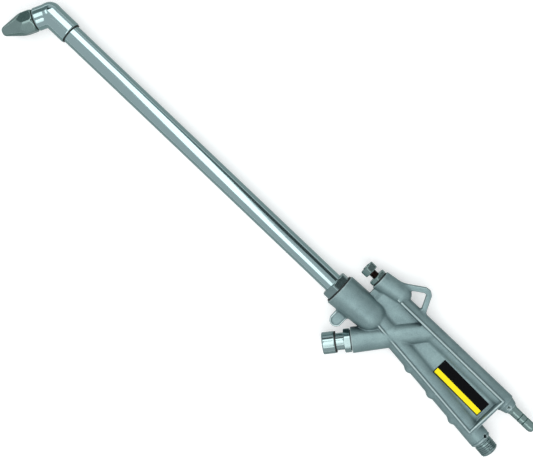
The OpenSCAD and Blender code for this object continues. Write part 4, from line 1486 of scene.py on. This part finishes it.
@dataclass
class PushValve:
    """Collar, push button and the valve behind them, on the branch's axis."""

    collar_flats: float = 15.0
    button_r: float = 7.7

    def build(self, finishes: Finishes) -> None:
        """Makes the valve's pieces, with the run counted outward from the branch's mouth.

        Args:
            finishes: Materials of the slots.
        """
        Turned(
            "valve_collar_turned", "valve_collar", Slot.BRIGHT_CHROME, BRANCH_MOUTH, BRANCH_ANGLE,
            corners(
                (-8.0, 3.22, 0.1), (-8.0, 5.98, 0.2), (0.6, 5.98, 0.05), (0.6, 8.5, 0.15),
                (4.6, 8.6, 0.3), (5.1, 7.7, 0.25), (5.1, 6.0, 0.3), (13.8, 6.0, 0.2),
                (13.8, 1.66, 0.1), (-5.0, 1.66, 0.1), (-5.0, 3.22, 0.1)),
            flats=self.collar_flats, flat_runs=(0.55, 5.15), turn=30.0, longest=0.5).place(finishes)
        seal("collar_ring", "collar_gasket", BRANCH_MOUTH, BRANCH_ANGLE,
             (0.02, 0.58), (6.06, 7.18), (0.1, 0.2)).place(finishes)
        r = self.button_r
        Turned(
            "push_button_cap", "push_button", Slot.BRIGHT_CHROME, BRANCH_MOUTH, BRANCH_ANGLE,
            corners(
                (19.55, 0.01, 0.0), (19.55, 1.6, 0.05), (18.8, 1.6, 0.05), (18.8, 6.06, 0.3),
                (11.6, 6.06, 0.1), (11.6, r - 0.2, 0.1), (11.9, r, 0.3), (19.8, r, 0.5),
                (20.3, r - 0.7, 0.5), (20.25, 3.0, 1.0), (20.15, 0.01, 0.0)),
            Body.BUTTON, loop=False, sides=96, longest=0.8).place(finishes)
        dress(finishes, {
            "button_bumper": Slot.BLACK_RUBBER, "stem_seal": Slot.BLACK_RUBBER, "valve_seat": Slot.BRASS,
            "valve_stem": Slot.DULL_STEEL, "valve_disc": Slot.BRASS, "disc_facing": Slot.BLACK_RUBBER,
            "disc_nut": Slot.DULL_STEEL})


@dataclass
class ReturnSpring:
    """Compression spring behind the valve disc.

    Attributes:
        depth: Its ends, counted inward from the branch's mouth.
        turn_r: Radius of the wire's middle.
        wire_r: Radius of the wire.
        turns: Turns, with the closed one at each end.
        travel: Way of the button, not used.
        steps: Points along a turn.
        sides: Points round the wire.
    """

    depth: Span = (33.45, 43.9)
    turn_r: float = 3.2
    wire_r: float = 0.35
    turns: int = 6
    travel: float = 4.54
    steps: int = 28
    sides: int = 10

    def rise(self, turn: float) -> float:
        """Height of the wire's middle along the coil, with a closed turn at each end.

        Args:
            turn: Turns from the coil's start.

        Returns:
            Height over the start.
        """
        length = self.depth[1] - self.depth[0]
        closed = 2 * self.wire_r + 0.02
        pitch = (length - 2 * closed - 2 * self.wire_r) / (self.turns - 2)
        open_turns = min(max(turn - 1.0, 0.0), self.turns - 2.0)
        return self.wire_r + closed * (turn - open_turns) + pitch * open_turns

    def build(self, finishes: Finishes) -> None:
        """Makes the coil as one unbroken wire.

        Args:
            finishes: Materials of the slots.
        """
        way = -heading(BRANCH_ANGLE)
        side = np.cross(way, UP)
        foot = plan(BRANCH_MOUTH) + self.depth[0] * way
        count, sides = self.turns * self.steps, self.sides
        points: list[np.ndarray] = []
        for turn in (i / self.steps for i in range(count + 1)):
            out = math.cos(math.tau * turn) * side + math.sin(math.tau * turn) * UP
            for b in (math.tau * k / sides for k in range(sides)):
                points.append(foot + (self.turn_r + self.wire_r * math.cos(b)) * out
                              + (self.rise(turn) + self.wire_r * math.sin(b)) * way)
        faces: list[Face] = []
        for i in range(count):
            for k in range(sides):
                a, b = i * sides + k, i * sides + (k + 1) % sides
                faces.append((a, b, b + sides, a + sides))
        faces.append(tuple(range(sides)))
        faces.append(tuple(count * sides + k for k in range(sides)))
        spring = add_piece(
            "return_spring_coil", np.array(points), faces, Body.GUN,
            finishes[Slot.DULL_STEEL], ["return_spring"])
        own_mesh(spring)


@dataclass
class NeedleValve:
    """Needle with its knob, and the packing nut that seals it."""

    axis: Plan = (0.0, NEEDLE_Y)
    knob_flats: float = 10.0
    nut_flats: float = 12.3
    pitch: float = 0.8

    def build(self, finishes: Finishes) -> None:
        """Makes the needle valve's pieces, with the run counted along the wand's direction.

        Args:
            finishes: Materials of the slots.
        """
        Turned(
            "needle_stem_threaded", "needle_stem", Slot.BROWNED_STEEL, self.axis, 0.0,
            corners(
                (-32.17, 0.6, 0.0), (-28.17, 2.75, 0.2), (-7.7, 2.75), (-7.7, 1.2, 0.05),
                (-3.02, 1.2, 0.0)),
            Body.NEEDLE, loop=False, sides=48, longest=0.1, pitch=self.pitch, depth=0.3,
            thread_runs=(-19.0, -7.8)).place(finishes)
        Turned(
            "needle_knob_hex", "needle_knob", Slot.DULL_STEEL, self.axis, 0.0,
            corners(
                (-7.7, 1.2, 0.1), (-7.7, 5.0, 0.2), (-7.1, 5.8, 0.3), (-3.1, 5.8, 0.3),
                (-2.5, 5.0, 0.2), (-2.5, 2.54, 0.1), (-3.0, 2.54, 0.05), (-3.0, 1.2, 0.05)),
            Body.KNOB, flats=self.knob_flats, flat_runs=(-7.75, -2.4), longest=0.3).place(finishes)
        Turned(
            "packing_nut_turned", "packing_nut", Slot.DULL_STEEL, self.axis, 0.0,
            corners(
                (-20.4, 2.82, 0.1), (-20.4, 4.3, 0.2), (-14.3, 4.3, 0.05), (-14.3, 7.0, 0.1),
                (-12.4, 7.08, 0.3), (-11.7, 6.1, 0.2), (-11.7, 3.3, 0.2), (-12.1, 2.82, 0.1)),
            flats=self.nut_flats, flat_runs=(-14.35, -11.6), longest=0.3).place(finishes)
        seal("packing_ring", "packing_gasket", self.axis, 0.0,
             (-15.38, -14.32), (4.36, 6.13), (0.1, 0.3)).place(finishes)
        dress(finishes, {
            "knob_screw": Slot.DULL_STEEL, "packing_washer": Slot.DULL_STEEL,
            "needle_packing": Slot.WHITE_PACKING})


def add_sheet(name: str, outline: Sequence[Spot], material: Material) -> bpy.types.Object:
    """Makes a flat studio piece that isn't part of the gun.

    Args:
        name: Name of the piece.
        outline: Corners in order, in metres.
        material: Its material.

    Returns:
        The object.
    """
    mesh = bpy.data.meshes.new(name)
    mesh.from_pydata(list(outline), [], [tuple(range(len(outline)))])
    mesh.materials.append(material)
    obj = bpy.data.objects.new(name, mesh)
    bpy.context.scene.collection.objects.link(obj)
    return obj


@dataclass(frozen=True)
class Panel:
    """Studio panel that only reflections show: a lit cloth or a flag.

    Attributes:
        name: Name of the panel.
        outline: Corners in order, in metres.
        tint: Colour of its cloth.
        strength: Brightness at the two places of graded.
        graded: Places along X between which the brightness changes smoothly.
    """

    name: str
    outline: Sequence[Spot]
    tint: str
    strength: Span
    graded: Span = (0.0, 2.0)

    def build(self) -> None:
        """Makes the panel."""
        material, tree = new_material(self.name + "_cloth")
        place = add_node(tree, "ShaderNodeTexCoord").outputs["Object"]
        along = add_node(tree, "ShaderNodeSeparateXYZ", inputs={0: place}).outputs["X"]
        strength = add_node(tree, "ShaderNodeMapRange", {"interpolation_type": "SMOOTHSTEP"}, {
            "Value": along, "From Min": self.graded[0], "From Max": self.graded[1],
            "To Min": self.strength[0], "To Max": self.strength[1]})
        cloth = add_node(tree, "ShaderNodeEmission", inputs={
            "Color": to_linear(self.tint), "Strength": strength.outputs[0]})
        add_node(tree, "ShaderNodeOutputMaterial", inputs={"Surface": cloth.outputs[0]})
        panel = add_sheet(self.name, self.outline, material)
        panel.visible_camera = panel.visible_diffuse = panel.visible_shadow = False


def level(height: float, *outline: Plan) -> list[Spot]:
    """Corners of a panel that lies level at a height."""
    return [(x, y, height) for x, y in outline]


@dataclass
class Studio:
    """Pale floor, soft lamps, cloths and flags for the reflections, and the camera, in metres."""

    floor_z: float = -0.01225
    floor_reach: float = 6.0
    floor_tone: str = "D8DADA"
    floor_glow: float = 0.42
    target: Spot = (0.2180, -0.0045, 0.0)
    distance: float = 0.828
    tilt: float = 8.0
    picture_up: Plan = (0.6858, -0.7278)
    lens: float = 81.0
    cloth_z: float = 0.95
    white: str = "FFFFFF"
    dark: str = "D8F2F2"
    grey: str = "E4F2F2"
    box_size: Span = (2.4, 0.9)
    box_at: Spot = (0.2, 0.13, 0.95)
    box_energy: float = 13.0
    sky: tuple[float, ...] = (0.93, 0.97, 1.0, 1.0)
    sky_levels: Span = (0.40, 0.64)

    def floor(self) -> None:
        """Makes a wide pale floor that keeps a light shadow and looks brighter than it lights."""
        material, tree = new_material("Matt white paper")
        paper = add_node(tree, "ShaderNodeBsdfDiffuse", inputs={"Color": to_linear(self.floor_tone)})
        glow = add_node(tree, "ShaderNodeEmission", inputs={
            "Color": to_linear(self.white), "Strength": self.floor_glow})
        both = add_node(tree, "ShaderNodeAddShader", inputs={0: paper.outputs[0], 1: glow.outputs[0]})
        mixed = add_node(tree, "ShaderNodeMixShader", inputs={
            0: seen_rays(tree), 1: paper.outputs[0], 2: both.outputs[0]})
        add_node(tree, "ShaderNodeOutputMaterial", inputs={"Surface": mixed.outputs[0]})
        r = self.floor_reach
        add_sheet("floor", level(self.floor_z, (-r, -r), (r, -r), (r, r), (-r, r)), material)

    def panels(self) -> None:
        """Makes the slanted cloth overhead and the dark flags, as the tube's bands show them."""
        high, near, low = self.cloth_z, self.cloth_z - 0.001, self.floor_z + 0.0001
        for panel in (
            Panel("lit_cloth", level(
                high, (-0.9, 0.45), (-0.2, 0.75), (0.2, 0.53), (0.37, 0.22), (0.53, -0.26), (1.0, -0.22),
                (1.0, -2.0), (0.53, -2.0), (0.37, -1.4), (0.2, -0.22), (0.05, 0.1), (-0.9, 0.0)),
                self.white, (1.7, 2.3), (0.0, 0.2)),
            Panel("dark_flag", (
                (0.02, -0.9, 0.24), (0.376, -0.9, 0.08), (0.6, -0.9, 0.13), (0.376, -0.9, 0.52),
                (0.2, -0.9, 0.965), (0.02, -0.9, 0.95)), self.dark, (0.08, 0.5), (0.2, 0.55)),
            Panel("side_flag", (
                (1.20, -0.32, 0.48), (0.84, -0.78, 0.48), (0.80, -0.73, 0.80), (1.16, -0.27, 0.80)),
                self.dark, (0.08, 0.08)),
            Panel("end_flag", (
                (1.10, -0.5, 0.06), (1.10, 0.12, 0.06), (1.10, 0.12, 0.50), (1.10, -0.5, 0.50)),
                self.dark, (0.28, 0.28)),
            Panel("end_cloth", level(
                high, (0.70, 0.05), (1.45, -0.20), (1.45, 0.0), (0.70, 0.23)), self.white, (2.0, 2.0)),
            Panel("button_flag", level(
                near, (-0.02, 0.12), (-0.09, 0.10), (-0.32, 0.36), (-0.22, 0.40)), self.dark, (0.15, 0.15)),
            Panel("grey_card", level(
                low, (-0.12, -0.3), (0.55, -0.3), (0.55, 0.3), (-0.12, 0.3)), self.grey, (0.5, 0.5)),
        ):
            panel.build()

    def lamps(self) -> None:
        """Makes the soft box above, which no mirror shows, and the even light all round."""
        box = bpy.data.lights.new("soft_box", "AREA")
        box.shape = "RECTANGLE"
        box.size, box.size_y = self.box_size
        box.energy = self.box_energy
        lamp = bpy.data.objects.new("soft_box", box)
        lamp.location = self.box_at
        lamp.visible_camera = lamp.visible_glossy = False
        bpy.context.scene.collection.objects.link(lamp)
        world = bpy.data.worlds.new("Even studio light")
        bpy.context.scene.world = world
        world.use_nodes = True
        tree = world.node_tree
        tree.nodes.clear()
        strength = add_node(tree, "ShaderNodeMapRange", inputs={
            "Value": seen_rays(tree), "To Min": self.sky_levels[0], "To Max": self.sky_levels[1]})
        sky = add_node(tree, "ShaderNodeBackground", inputs={
            "Color": self.sky, "Strength": strength.outputs[0]})
        add_node(tree, "ShaderNodeOutputWorld", inputs={"Surface": sky.outputs[0]})

    def camera(self) -> None:
        """Places the camera at the photograph's view."""
        data = bpy.data.cameras.new("camera")
        data.lens = self.lens
        data.sensor_width = 36.0
        data.clip_start, data.clip_end = 0.05, 50.0
        data.dof.use_dof = False
        obj = bpy.data.objects.new("camera", data)
        tilt = math.radians(self.tilt)
        back = Vector((0.0, -math.sin(tilt), math.cos(tilt)))
        up = Vector((*self.picture_up, 0.0))
        up = (up - back * up.dot(back)).normalized()
        right = up.cross(back).normalized()
        obj.location = Vector(self.target) + back * self.distance
        obj.rotation_euler = Matrix((right, up, back)).transposed().to_euler()
        bpy.context.scene.collection.objects.link(obj)
        bpy.context.scene.camera = obj

    def build(self) -> None:
        """Makes the whole studio."""
        self.camera()
        self.floor()
        self.panels()
        self.lamps()
        bpy.context.scene.view_settings.view_transform = "Standard"


def main() -> None:
    """Builds the studio and the sub-assemblies in order."""
    logging.basicConfig(level=logging.INFO, format="%(message)s")
    Studio().build()
    finishes = make_finishes()
    Label().build(CastBody().build(finishes))
    for part in (Fittings(), Gland(), Wand(), PushValve(), ReturnSpring(), NeedleValve()):
        part.build(finishes)


if __name__ == "__main__":
    main()
